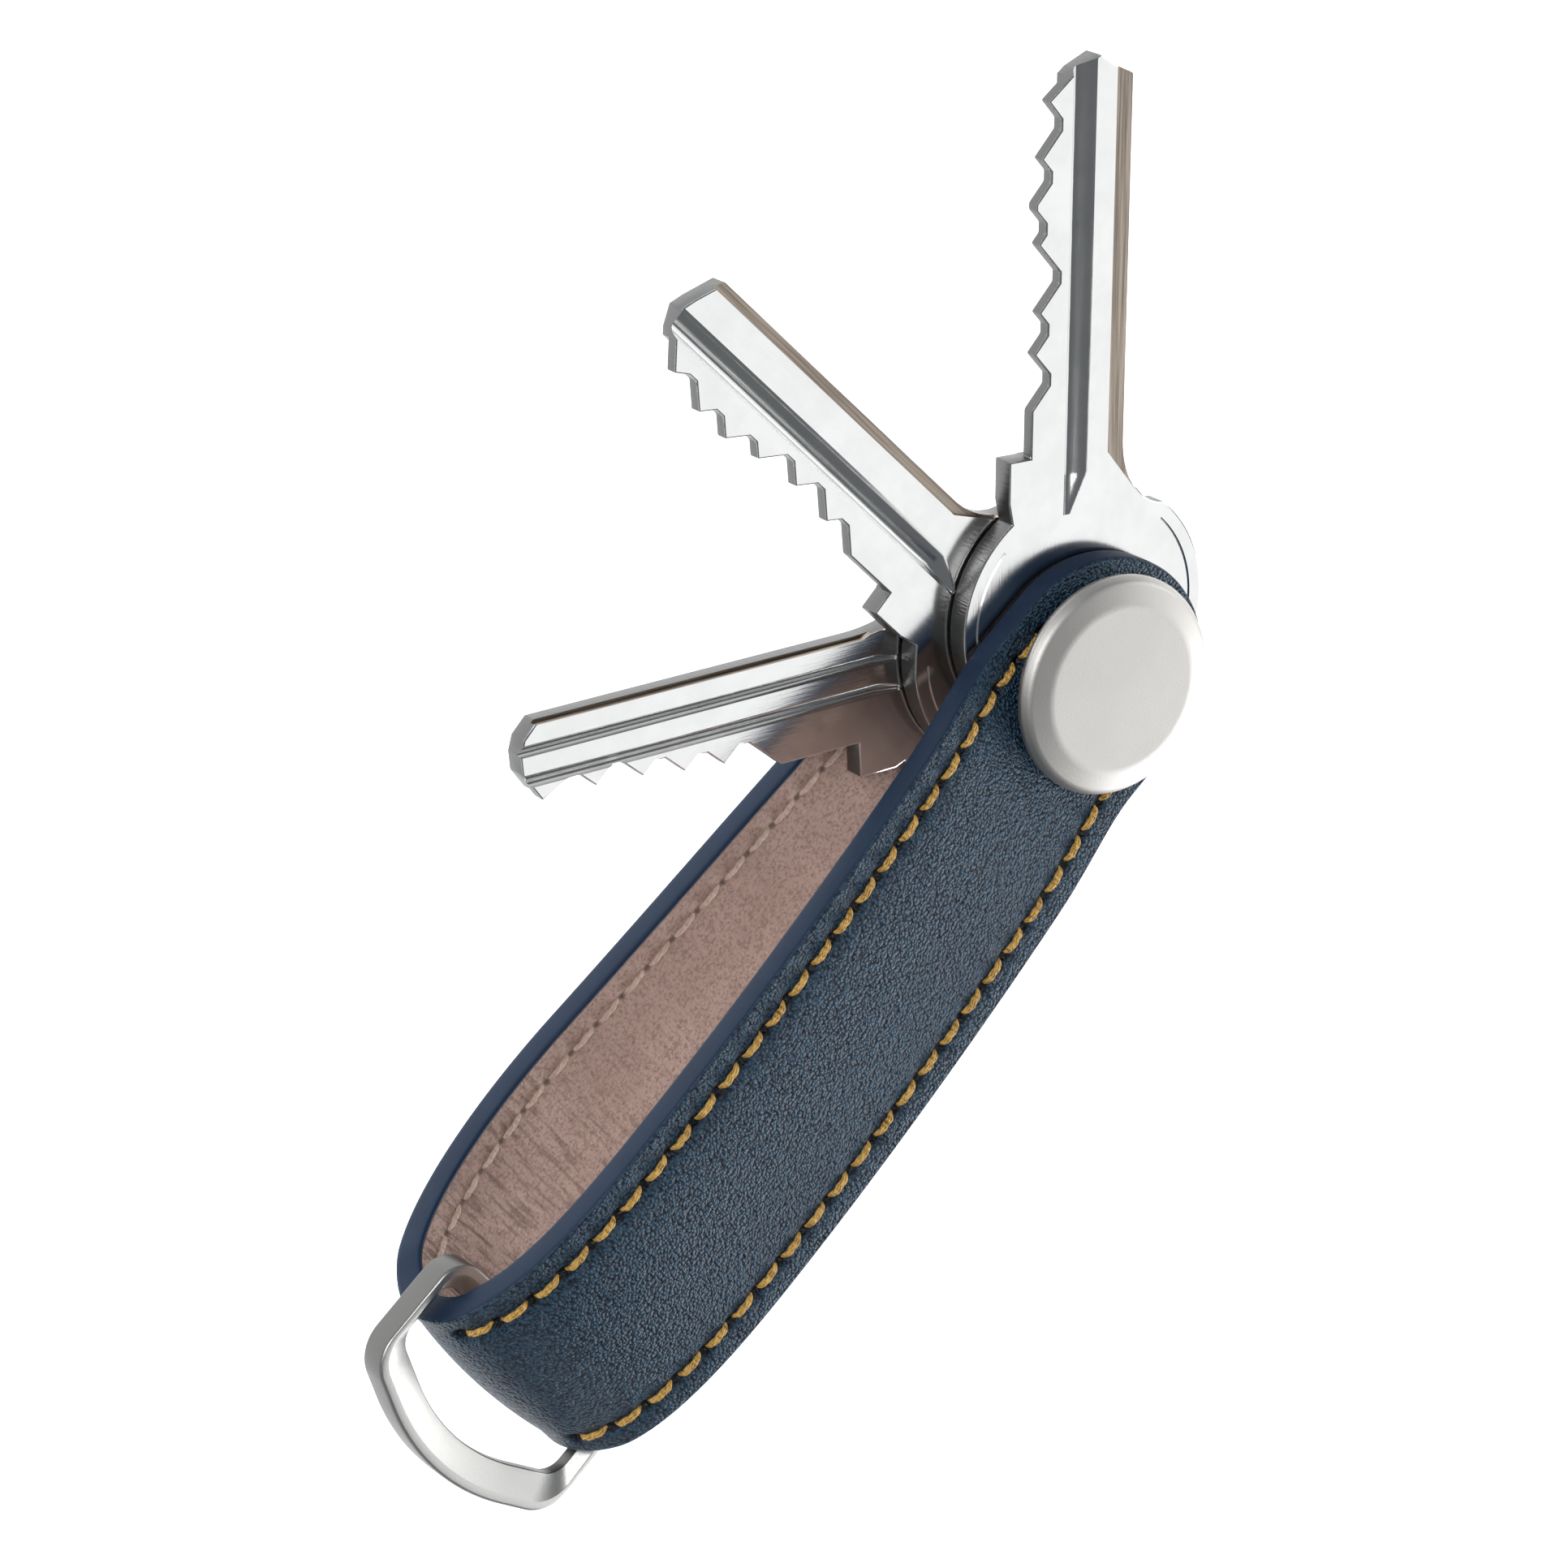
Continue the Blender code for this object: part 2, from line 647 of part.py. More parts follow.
def d_ring():
    bar = RING_BAR / 2
    eye = RING_EYE_WIDTH / 2
    outer = ring_outline(
        bar, eye + RING_ARM, -RING_BOW_REACH, RING_OUTER_BOW_RADIUS, RING_OUTER_CORNERS
    )
    inner = ring_outline(
        -bar, eye, -RING_BOW_REACH + RING_BOW, RING_INNER_BOW_RADIUS, RING_INNER_CORNERS
    )
    tall = RING_HEIGHT / 2
    short = RING_INNER_HEIGHT / 2
    rings = []
    for (ox, oy), (ix, iy) in zip(outer, inner):
        width = math.hypot(ix - ox, iy - oy)
        section = (
            (0, tall - RING_EDGE),
            (RING_EDGE, tall),
            (RING_EDGE + RING_RIM, tall),
            (width, short),
            (width, -short),
            (RING_EDGE + RING_RIM, -tall),
            (RING_EDGE, -tall),
            (0, -tall + RING_EDGE),
        )
        rings.append(
            [(ox + (ix - ox) * s / width, oy + (iy - oy) * s / width, z) for s, z in section]
        )
    ring = solid("d_ring", loft(rings, closed=True), SATIN_STEEL, smooth=20)
    ring.location = (RING_BAR_X, 0, RING_LEVEL)


clear_scene()
pivot_frame = bpy.data.objects.new("pivot_frame", None)
bpy.context.scene.collection.objects.link(pivot_frame)
pivot_frame.location.z = -CAP_HEIGHT
strap()
front_cap()
threaded_sleeve()
stack()
locking_screw()
d_ring()
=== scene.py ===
import math

import bmesh
import bpy
import numpy as np
from mathutils import Matrix, Vector


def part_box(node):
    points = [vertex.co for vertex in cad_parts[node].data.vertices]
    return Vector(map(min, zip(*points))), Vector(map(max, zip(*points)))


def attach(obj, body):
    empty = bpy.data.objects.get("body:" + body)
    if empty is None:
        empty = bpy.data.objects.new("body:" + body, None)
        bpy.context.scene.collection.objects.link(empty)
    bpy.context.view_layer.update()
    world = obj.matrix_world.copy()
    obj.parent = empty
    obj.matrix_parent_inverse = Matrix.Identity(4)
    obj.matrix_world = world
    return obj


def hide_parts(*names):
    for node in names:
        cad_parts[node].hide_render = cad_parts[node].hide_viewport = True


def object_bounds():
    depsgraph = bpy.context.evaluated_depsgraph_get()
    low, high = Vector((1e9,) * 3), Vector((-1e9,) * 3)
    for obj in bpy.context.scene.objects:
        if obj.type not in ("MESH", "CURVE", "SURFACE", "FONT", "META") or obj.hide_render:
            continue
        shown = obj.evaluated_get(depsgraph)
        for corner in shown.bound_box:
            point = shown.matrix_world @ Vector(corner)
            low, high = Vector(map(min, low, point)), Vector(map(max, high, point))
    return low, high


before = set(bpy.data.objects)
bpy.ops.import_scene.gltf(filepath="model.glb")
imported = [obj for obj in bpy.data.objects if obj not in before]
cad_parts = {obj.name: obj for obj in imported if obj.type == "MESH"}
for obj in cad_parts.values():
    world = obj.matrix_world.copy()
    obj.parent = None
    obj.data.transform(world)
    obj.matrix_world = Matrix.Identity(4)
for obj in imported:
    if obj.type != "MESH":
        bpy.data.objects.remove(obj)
cad_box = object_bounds()

# --- Table, lights and camera ------------------------------------------------------------------
# The organiser is shown in mid air over a large pale table, under big soft lights, so that its
# metal has white panels to reflect and dark gaps between them.

MM = 0.001
CAMERA_AT = Vector((-103.6, 304.1, 372.9)) * MM
CAMERA_RIGHT = Vector((0.6280, -0.5511, 0.5495))
CAMERA_UP = Vector((0.7609, 0.5830, -0.2849))
CAMERA_LENS = 137.7
TABLE_DROP = 160 * MM
TABLE_HALF = 3.0
TABLE_GLOW = 0.85
ROOM_GLOW = 0.16

# name: (direction it shines from, distance, width, height, power)
PANELS = {
    "top_panel": ((0.20, -0.69, 0.70), 0.60, 0.52, 0.40, 0.68),
    "far_panel": ((0.25, -0.93, 0.22), 0.60, 0.50, 0.22, 2.2),
    "right_panel": ((0.85, -0.35, 0.40), 0.70, 0.30, 0.50, 1.2),
    "camera_panel": ((-0.25, 0.75, 0.62), 0.90, 0.50, 0.50, 4.2),
}


def look_along(forward, up):
    right = forward.cross(up).normalized()
    return Matrix((right, right.cross(forward), -forward)).transposed().to_quaternion()


def add_panel(name, direction, distance, width, height, power):
    light = bpy.data.lights.new(name, "AREA")
    light.shape = "RECTANGLE"
    light.size = width
    light.size_y = height
    light.energy = power
    lamp = bpy.data.objects.new(name, light)
    bpy.context.scene.collection.objects.link(lamp)
    away = Vector(direction).normalized()
    lamp.location = middle_of_object + away * distance
    lamp.rotation_mode = "QUATERNION"
    lamp.rotation_quaternion = (-away).to_track_quat("-Z", "Y")


middle_of_object = (cad_box[0] + cad_box[1]) / 2
for panel_name, panel in PANELS.items():
    add_panel(panel_name, *panel)

camera = bpy.data.objects.new("camera", bpy.data.cameras.new("camera"))
bpy.context.scene.collection.objects.link(camera)
camera.data.lens = CAMERA_LENS
camera.data.clip_start = 0.01
camera.location = CAMERA_AT
camera.rotation_mode = "QUATERNION"
camera.rotation_quaternion = look_along(CAMERA_UP.cross(CAMERA_RIGHT).normalized(), CAMERA_UP)
bpy.context.scene.camera = camera
bpy.context.scene.view_settings.view_transform = "Standard"

world = bpy.data.worlds.new("room")
world.use_nodes = True
world.node_tree.nodes["Background"].inputs["Color"].default_value = (0.90, 0.95, 1.0, 1.0)
world.node_tree.nodes["Background"].inputs["Strength"].default_value = ROOM_GLOW
bpy.context.scene.world = world


class Socket:
    """A shader value that takes part in sums: each operator adds its Math node."""

    def __init__(self, finish, link):
        self.finish = finish
        self.link = link

    def maths(self, operation, first, second):
        return self.finish.node("ShaderNodeMath", {"operation": operation}, {0: first, 1: second})

    def __add__(self, other):
        return self.maths("ADD", self, other)

    def __sub__(self, other):
        return self.maths("SUBTRACT", self, other)

    def __rsub__(self, other):
        return self.maths("SUBTRACT", other, self)

    def __mul__(self, other):
        return self.maths("MULTIPLY", self, other)

    def __abs__(self):
        return self.maths("ABSOLUTE", self, 0.0)

    __radd__ = __add__
    __rmul__ = __mul__

    def least(self, other):
        return self.maths("MINIMUM", self, other)

    def out(self, name):
        """Another output of the same node."""
        return Socket(self.finish, self.link.node.outputs[name])

    def between(self, low, high):
        """0 where the value is at low or under, 1 at high or over, and smooth in between."""
        settings = {"interpolation_type": "SMOOTHSTEP"}
        return self.finish.node("ShaderNodeMapRange", settings, {0: self, 1: low, 2: high})


class Finish:
    """A material in the making, whose Principled shader takes values by socket name."""

    def __init__(self, name, **constants):
        self.material = bpy.data.materials.new(name)
        self.material.use_nodes = True
        self.tree = self.material.node_tree
        self.shader = self.tree.nodes["Principled BSDF"]
        for socket, value in constants.items():
            self.set(socket.replace("_", " ").title().replace("Ior", "IOR"), value)

    def set(self, socket, value):
        self.feed(self.shader.inputs[socket], value)

    def feed(self, socket, value):
        if isinstance(value, Socket):
            self.tree.links.new(value.link, socket)
        elif isinstance(value, tuple) and len(value) == 3 and socket.type == "RGBA":
            socket.default_value = (*value, 1.0)
        else:
            socket.default_value = value

    def node(self, kind, settings=None, values=None):
        """Adds a node: its settings first, then values or links for its sockets."""
        made = self.tree.nodes.new(kind)
        for name, setting in (settings or {}).items():
            setattr(made, name, setting)
        for name, value in (values or {}).items():
            self.feed(made.inputs[name], value)
        return Socket(self, next(o for o in made.outputs if o.enabled))

    def mix(self, share, one, other):
        """Colour one where the share is 0 and the other colour where it is 1."""
        settings = {"data_type": "RGBA"}
        mixed = self.node("ShaderNodeMix", settings, {0: share, 6: one, 7: other})
        return Socket(self, mixed.link.node.outputs[2])

    def attribute(self, name, output="Fac"):
        return self.node("ShaderNodeAttribute", {"attribute_name": name}).out(output)

    def place(self):
        """Where the point is on the object, in metres, before it is posed."""
        return self.node("ShaderNodeTexCoord").out("Object")

    def steepness(self, low, high):
        """0 on faces that look up or down and 1 on upright walls, before the piece is posed."""
        facing = self.node("ShaderNodeTexCoord").out("Normal")
        return 1 - abs(self.axis(facing, "Z")).between(low, high)

    def axis(self, vector, name):
        return self.node("ShaderNodeSeparateXYZ", None, {0: vector}).out(name)

    def stretched(self, place, scales):
        """The place with each direction scaled on its own."""
        settings = {"operation": "MULTIPLY"}
        return self.node("ShaderNodeVectorMath", settings, {0: place, 1: scales})

    def noise(self, place, scale, detail=2.0, roughness=0.5):
        values = {"Vector": place, "Scale": scale, "Detail": detail, "Roughness": roughness}
        return self.node("ShaderNodeTexNoise", None, values)

    def cells(self, place, scale, smoothness):
        """Rounded cells: 0 in the middle of each and higher towards its borders."""
        values = {"Vector": place, "Scale": scale, "Smoothness": smoothness}
        return self.node("ShaderNodeTexVoronoi", {"feature": "SMOOTH_F1"}, values)

    def bumped(self, height, depth):
        """A normal from a height of 0 to 1 that stands for this depth in metres."""
        values = {"Height": height, "Distance": depth, "Strength": 1.0}
        return self.node("ShaderNodeBump", None, values)


table_top = Finish("table_white", roughness=0.9, emission_strength=TABLE_GLOW)
table_top.set("Emission Color", (1.0, 1.0, 1.0))
table_grain = table_top.noise(table_top.place(), 9.0)
table_top.set("Base Color", table_top.mix(table_grain, (0.86, 0.87, 0.88), (0.88, 0.88, 0.89)))
table_mesh = bpy.data.meshes.new("table")
table_corners = [(-1, -1), (1, -1), (1, 1), (-1, 1)]
table_z = cad_box[0].z - TABLE_DROP
table_mesh.from_pydata(
    [(x * TABLE_HALF, y * TABLE_HALF, table_z) for x, y in table_corners], [], [(0, 1, 2, 3)]
)
table_mesh.materials.append(table_top.material)
table = bpy.data.objects.new("table", table_mesh)
bpy.context.scene.collection.objects.link(table)

# --- Outer leather -----------------------------------------------------------------------------
# One strip of navy grained cowhide, 1 mm thick, with both ends cut round. It is folded into a
# loop over the ring, glued to a core sheet and sewn; the sewing pulls a valley along each edge.

WIDTH = 20.9 * MM
WAIST_WIDTH = 19.9 * MM
WAIST_LENGTH = 3.2 * MM
HALF_THICKNESS = 1.2 * MM
LAYER = 1.0 * MM
LOOP_LENGTH = 75.0 * MM
SLEEVE_HOLE = 3.05 * MM
FRONT_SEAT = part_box("threaded_sleeve")[1].z - 1.3 * MM
BACK_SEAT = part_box("screw_washer")[1].z + 0.05 * MM
ROUND_END_STEPS = 96
SPACING = 0.32 * MM

# Where the strap's mid-thickness goes: x, height, direction in degrees, curve's reach each way.
FRONT_LINE = FRONT_SEAT - HALF_THICKNESS
BACK_LINE = BACK_SEAT + HALF_THICKNESS
STRAP_KNOTS = (
    (0.0, FRONT_LINE, 180, 0, 0.0028),
    (-0.0045, FRONT_LINE, 180, 0.0015, 0.0035),
    (-0.0165, FRONT_LINE + 0.0023, 171.5, 0.0050, 0.0095),
    (-0.6627 * LOOP_LENGTH, FRONT_LINE + 0.0054, 178, 0.0106, 0.0118),
    (-LOOP_LENGTH, (FRONT_LINE + BACK_LINE) / 2 + 0.0025, 264, 0.0088, 0.0074),
    (-0.6627 * LOOP_LENGTH, BACK_LINE - 0.0022, 364, 0.0141, 0.0135),
    (-0.0165, BACK_LINE - 0.0003, 364, 0.0132, 0.0030),
    (-0.0083, BACK_LINE, 360, 0.0028, 0.0028),
    (0.0, BACK_LINE, 360, 0.0028, 0),
)
CURVE_STEPS = 80

STITCH_PITCH = 3.126 * MM
STITCH_ROW = 7.95 * MM
FIRST_STITCH = 2.72 * MM
ROW_STITCHES = 24
VALLEY_WIDTH = 0.95 * MM
CROWN = 0.62 * MM
HOLE_LENGTH = 0.58 * MM
HOLE_WIDTH = 0.50 * MM
SLANT = 0.07 * MM


def strap_curve():
    """Points along the strap's mid-thickness, with the length up to each."""
    points = []
    for (x0, z0, turn0, _, reach0), (x1, z1, turn1, reach1, _) in zip(STRAP_KNOTS, STRAP_KNOTS[1:]):
        t = np.linspace(0, 1, CURVE_STEPS, endpoint=False)[:, None]
        a = np.array((x0, z0))
        d = np.array((x1, z1))
        b = a + reach0 * np.array((math.cos(math.radians(turn0)), math.sin(math.radians(turn0))))
        c = d - reach1 * np.array((math.cos(math.radians(turn1)), math.sin(math.radians(turn1))))
        left = 1 - t
        points.append(left**3 * a + 3 * t * left**2 * b + 3 * t**2 * left * c + t**3 * d)
    points.append(np.array([STRAP_KNOTS[-1][:2]]))
    points = np.concatenate(points)
    lengths = np.concatenate(([0], np.cumsum(np.linalg.norm(np.diff(points, axis=0), axis=1))))
    return points, lengths


curve_points, curve_lengths = strap_curve()
STRAP_RUN = curve_lengths[-1]
bend_at = curve_lengths[np.argmin(curve_points[:, 0])]
curve_slopes = np.gradient(curve_points, curve_lengths, axis=0)
curve_slopes /= np.linalg.norm(curve_slopes, axis=1)[:, None]


def on_strap(along, across, out):
    """World places of points along the strap, across it and out from its mid-thickness."""
    along, across, out = np.broadcast_arrays(along, across, out)
    inside = np.clip(along, 0, STRAP_RUN)
    x = np.interp(inside, curve_lengths, curve_points[:, 0])
    z = np.interp(inside, curve_lengths, curve_points[:, 1])
    slope_x = np.interp(inside, curve_lengths, curve_slopes[:, 0])
    slope_z = np.interp(inside, curve_lengths, curve_slopes[:, 1])
    size = np.hypot(slope_x, slope_z)
    slope_x, slope_z = slope_x / size, slope_z / size
    past = along - inside
    x = x + past * slope_x + out * slope_z
    z = z + past * slope_z - out * slope_x
    return np.stack((x, across, z), axis=-1)


def half_width(along):
    """Half the strap's width beside the pivots and on to the waist in its bend."""
    x = np.interp(along, curve_lengths, curve_points[:, 0])
    share = np.clip(1 - (LOOP_LENGTH + x) / WAIST_LENGTH, 0, 1)
    return (WIDTH - (WIDTH - WAIST_WIDTH) * share * share * (3 - 2 * share)) / 2


def outline_at(inset):
    """The strap's flat outline, drawn in by an inset: (along, across) all the way round."""
    side = np.linspace(0, STRAP_RUN, int(STRAP_RUN / SPACING))
    edge = np.maximum(half_width(side) - inset, 0)
    radius = max(WIDTH / 2 - inset, 0)
    turn = np.linspace(0, math.pi, ROUND_END_STEPS + 2)[1:-1]
    along = (side, STRAP_RUN + radius * np.sin(turn), side[::-1], -radius * np.sin(turn))
    across = (edge, radius * np.cos(turn), -edge[::-1], -radius * np.cos(turn))
    return np.concatenate(along), np.concatenate(across)


def stitch_middles():
    """Lengths along the strap of the stitches' middles, from the front end to the back end."""
    front = FIRST_STITCH + STITCH_PITCH * np.arange(ROW_STITCHES)
    return np.concatenate((front, STRAP_RUN - front[::-1]))


def sewn_dip(along, across, valley, hole):
    """How deep the sewing pulls the leather down: a valley in line, deeper at the holes."""
    off_row = np.abs(across) - STITCH_ROW
    last_hole = FIRST_STITCH + STITCH_PITCH * (ROW_STITCHES - 0.5)
    from_end = np.minimum(along, STRAP_RUN - along)
    beside = np.clip((last_hole + HOLE_LENGTH - from_end) / MM, 0, 1)
    round_pivot = np.hypot(np.maximum(-from_end, 0), across) - STITCH_ROW
    off_row = np.where(from_end < 0, round_pivot, off_row)
    dip = valley * np.exp(-((off_row / VALLEY_WIDTH) ** 2)) * beside
    step = (from_end - FIRST_STITCH) / STITCH_PITCH + 0.5
    to_hole = (step - np.round(step)) * STITCH_PITCH
    holes = np.exp(-((to_hole / HOLE_LENGTH) ** 2) - (off_row / HOLE_WIDTH) ** 2)
    holes = np.where((from_end > 0) & (from_end < last_hole + HOLE_LENGTH), holes, 0)
    return dip + hole * holes, holes


def crown_at(along, across):
    """How far the padded middle of an arm stands up between its two rows of stitches."""
    from_end = np.minimum(along, STRAP_RUN - along)
    on_arm = np.clip((from_end - 10 * MM) / (10 * MM), 0, 1)
    rise = np.clip(1 - (across / STITCH_ROW) ** 2, 0, 1)
    return CROWN * rise * on_arm * on_arm * (3 - 2 * on_arm)


def strap_piece(name, loops, valley, hole, face):
    """A closed skin over (inset, out, sewn) loops, from one spine to the other, with its holes."""
    places = []
    flat = []
    sewn = []
    for inset, out, pulled in loops:
        along, across = outline_at(inset)
        dip, holes = sewn_dip(along, across, valley, hole)
        lift = crown_at(along, across) * pulled if face > 0 else 0
        places.append(on_strap(along, across, out + lift - face * dip * pulled))
        flat.append(np.stack((along, across, np.full_like(along, out)), axis=-1))
        sewn.append(holes * pulled + 0.35 * pulled * dip / (valley + hole))
    count = len(places[0])
    points = np.concatenate(places)
    faces = []
    for row in range(len(loops) - 1):
        for i in range(count):
            j = (i + 1) % count
            base, above = row * count, (row + 1) * count
            faces.append((base + i, base + j, above + j, above + i))
    mesh = bpy.data.meshes.new(name)
    mesh.from_pydata(points.tolist(), [], faces)
    flat_layer = mesh.attributes.new("flat", "FLOAT_VECTOR", "POINT")
    flat_layer.data.foreach_set("vector", np.concatenate(flat).astype(np.float32).ravel())
    sewn_layer = mesh.attributes.new("sewn", "FLOAT", "POINT")
    sewn_layer.data.foreach_set("value", np.concatenate(sewn).astype(np.float32))
    shape = bmesh.new()
    shape.from_mesh(mesh)
    bmesh.ops.remove_doubles(shape, verts=shape.verts, dist=0.002 * MM)
    bmesh.ops.recalc_face_normals(shape, faces=shape.faces)
    shape.to_mesh(mesh)
    shape.free()
    mesh.shade_smooth()
    piece = bpy.data.objects.new(name, mesh)
    bpy.context.scene.collection.objects.link(piece)
    return piece


def turned(name, profile, steps, smooth=40, twist=None):
    """A piece turned round Z from (radius, height) points; one with an end on the axis is solid."""
    shape = bmesh.new()
    rows = []
    angles = [2 * math.pi * (i + 0.5) / steps for i in range(steps)]
    for radius, height in profile:
        if radius == 0:
            rows.append([shape.verts.new((0, 0, height))] * steps)
            continue
        ring = []
        for a in angles:
            r = radius + (twist(radius, height, a) if twist else 0)
            ring.append(shape.verts.new((r * math.cos(a), r * math.sin(a), height)))
        rows.append(ring)
    pairs = list(zip(rows, rows[1:]))
    if profile[0][0]:
        pairs.append((rows[-1], rows[0]))
    for one, other in pairs:
        for i in range(steps):
            j = (i + 1) % steps
            shape.faces.new(tuple(dict.fromkeys((one[i], one[j], other[j], other[i]))))
    return solid(name, shape, smooth)


def solid(name, shape, smooth=40):
    """Turns a bmesh into a smooth-shaded object with its sharp edges kept."""
    bmesh.ops.recalc_face_normals(shape, faces=shape.faces)
    mesh = bpy.data.meshes.new(name)
    shape.to_mesh(mesh)
    shape.free()
    mesh.shade_smooth()
    mesh.set_sharp_from_angle(angle=math.radians(smooth))
    made = bpy.data.objects.new(name, mesh)
    bpy.context.scene.collection.objects.link(made)
    return made


def cut(target, cutters):
    """Cuts each cutter out of the target for good, and throws the cutters away."""
    for cutter in cutters:
        modifier = target.modifiers.new(cutter.name, "BOOLEAN")
        modifier.operation = "DIFFERENCE"
        modifier.object = cutter
    settle(target)
    for cutter in cutters:
        bpy.data.objects.remove(cutter)


def settle(target, smooth=None):
    """Makes the modifiers' result the piece's own mesh."""
    shaped = target.evaluated_get(bpy.context.evaluated_depsgraph_get())
    mesh = bpy.data.meshes.new_from_object(shaped)
    target.modifiers.clear()
    target.data = mesh
    if smooth is not None:
        mesh.shade_smooth()
        mesh.set_sharp_from_angle(angle=math.radians(smooth))


def punch_pivot_holes(piece):
    """Drills the sleeve's hole through both ends of a strap layer."""
    reach = 2 * MM
    profile = [(0, -reach), (SLEEVE_HOLE, -reach), (SLEEVE_HOLE, reach), (0, reach)]
    drills = []
    for seat in (FRONT_LINE, BACK_LINE):
        drill = turned("drill", profile, 48)
        drill.location.z = seat
        drills.append(drill)
    cut(piece, drills)


def finish_piece(piece, finish, body, slot, *nodes):
    """Gives a piece its material and its body, and hides the CAD nodes it stands for; the slot is
    not used.
    """
    if not piece.data.materials:
        piece.data.materials.append(finish.material)
    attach(piece, body)
    if nodes:
        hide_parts(*nodes)


def face_loops(insets, level):
    """Loops on a leather's face, at these insets in millimetres."""
    return [(inset * MM, level, 1) for inset in insets]


def turned_edge(points, level, inwards):
    """Loops down a leather's cut edge, from (inset, drop) points in millimetres."""
    return [(inset * MM, level + inwards * drop * MM, 0) for inset, drop in points]


TOP = HALF_THICKNESS
OUTER_LOW = TOP - LAYER
OUTER_VALLEY = 0.20 * MM
OUTER_HOLE = 0.38 * MM
outer_edge = [(0.06, 0.40), (0.04, 0.24), (0.07, 0.12), (0.14, 0.04), (0.26, 0.005)]
outer_loops = [(WIDTH / 2, OUTER_LOW, 0), (0.06 * MM, OUTER_LOW, 0)]
outer_loops += turned_edge(outer_edge, TOP, -1)
outer_loops += face_loops([0.45, *np.arange(0.75, 1.6, 0.28), *np.arange(1.6, 3.5, 0.11)], TOP)
outer_loops += face_loops([3.7, 4.0, 4.4, 4.9, 5.6, 6.4, 7.4, 8.5, 9.6, 10.45], TOP)
outer = strap_piece("outer_leather_strip", outer_loops, OUTER_VALLEY, OUTER_HOLE, 1)
punch_pivot_holes(outer)

navy = Finish("navy_grained_leather", roughness=0.5, specular_ior_level=0.34)
navy_flat = navy.attribute("flat", "Vector")
navy_sewn = navy.attribute("sewn")
navy_level = navy.axis(navy_flat, "Z")
navy_turned = 1 - navy_level.between(TOP - 0.15 * MM, TOP - 0.002 * MM)
pebbles = navy.cells(navy_flat, 3900.0, 0.45)
pebble_size = navy.noise(navy_flat, 2900.0, 2.0)
pores = navy.noise(navy_flat, 9000.0, 2.0)
hide = navy.noise(navy_flat, 90.0, 3.0)
grain = (1 - pebbles) * 0.75 + pebble_size * 0.8 + pores * 0.12
grain_height = grain * (1 - navy_sewn * 0.5) * (1 - navy_turned * 0.75)
navy_base = navy.mix(hide.between(0.3, 0.7), (0.026, 0.070, 0.122), (0.032, 0.084, 0.142))
# The grain's hollows between the pebbles are darkened towards near black: painted shade in those
# hollows.
navy_hollows_shaded = navy.mix(grain.between(0.60, 1.0), (0.006, 0.016, 0.034), navy_base)
# The highest pebble tops, away from the rounded edge, are lightened to a pale blue grey: a painted
# highlight.
navy_pebbles_highlit = navy.mix(grain.between(1.0, 1.35) * (1 - navy_turned), navy_hollows_shaded, (0.105, 0.200, 0.280))
# Near black at the stitch holes and down the sewn valley: painted shade in those hollows.
navy.set("Base Color", navy.mix(navy_sewn.between(0.12, 0.70), navy_pebbles_highlit, (0.002, 0.004, 0.007)))
navy.set("Roughness", 0.40 + hide * 0.08 - grain * 0.04 + navy_turned * 0.2)
navy.set("Normal", navy.bumped(grain_height, 0.40 * MM))
finish_piece(outer, navy, "organiser", "outer_leather", "outer_leather")

# --- Lining leather ----------------------------------------------------------------------------
# The inside strip: thin, dusty pink vegetable-tanned leather with a fine grain, glued to the
# core sheet. The bend squeezes it, so cross creases gather there.

LINING_HIGH = -TOP + LAYER
LINING_VALLEY = 0.08 * MM
LINING_HOLE = 0.10 * MM
lining_edge = [(0.06, 0.25), (0.10, 0.10), (0.20, 0.03), (0.36, 0.005)]
lining_loops = [(WIDTH / 2, LINING_HIGH, 0), (0.06 * MM, LINING_HIGH, 0)]
lining_loops += turned_edge(lining_edge, -TOP, 1)
lining_loops += face_loops([*np.arange(0.6, 1.6, 0.33), *np.arange(1.6, 3.5, 0.14)], -TOP)
lining_loops += face_loops([3.7, 4.1, 4.7, 5.5, 6.5, 7.6, 8.8, 10.45], -TOP)
lining = strap_piece("lining_leather_strip", lining_loops, LINING_VALLEY, LINING_HOLE, -1)
punch_pivot_holes(lining)

pink = Finish("pink_lining_leather", specular_ior_level=0.35)
pink_flat = pink.attribute("flat", "Vector")
pink_sewn = pink.attribute("sewn")
pink_along = pink.axis(pink_flat, "X")
from_bend = abs(pink_along - float(bend_at))
squeezed = 1 - from_bend.between(6 * MM, 38 * MM) * 0.85
fine_grain = pink.noise(pink_flat, 3800.0, 3.0, 0.6)
follicles = pink.cells(pink_flat, 3000.0, 0.5)
creases = pink.noise(pink.stretched(pink_flat, (1700.0, 190.0, 1.0)), 1.0, 3.0, 0.5)
folds = pink.noise(pink.stretched(pink_flat, (700.0, 60.0, 1.0)), 1.0, 2.0, 0.5)
tan_cloud = pink.noise(pink_flat, 120.0, 3.0)
pink_base = pink.mix(tan_cloud.between(0.3, 0.7), (0.46, 0.330, 0.284), (0.54, 0.395, 0.345))
pink_shaded = pink.mix(fine_grain.between(0.28, 0.58), (0.29, 0.192, 0.160), pink_base)
crease_shade = (1 - creases.between(0.34, 0.52)) * squeezed * 0.8
pink_creased = pink.mix(crease_shade, pink_shaded, (0.16, 0.10, 0.082))
# The lining is darkest within 8 mm of each pivot end and back to its own colour by 19 mm: painted
# shade where the caps and keys crowd it.
from_pivot = pink_along.least(float(STRAP_RUN) - pink_along)
pivot_shade = 1 - from_pivot.between(8 * MM, 19 * MM)
pink_pivot_shaded = pink.mix(pivot_shade * 0.8, pink_creased, (0.045, 0.032, 0.028))
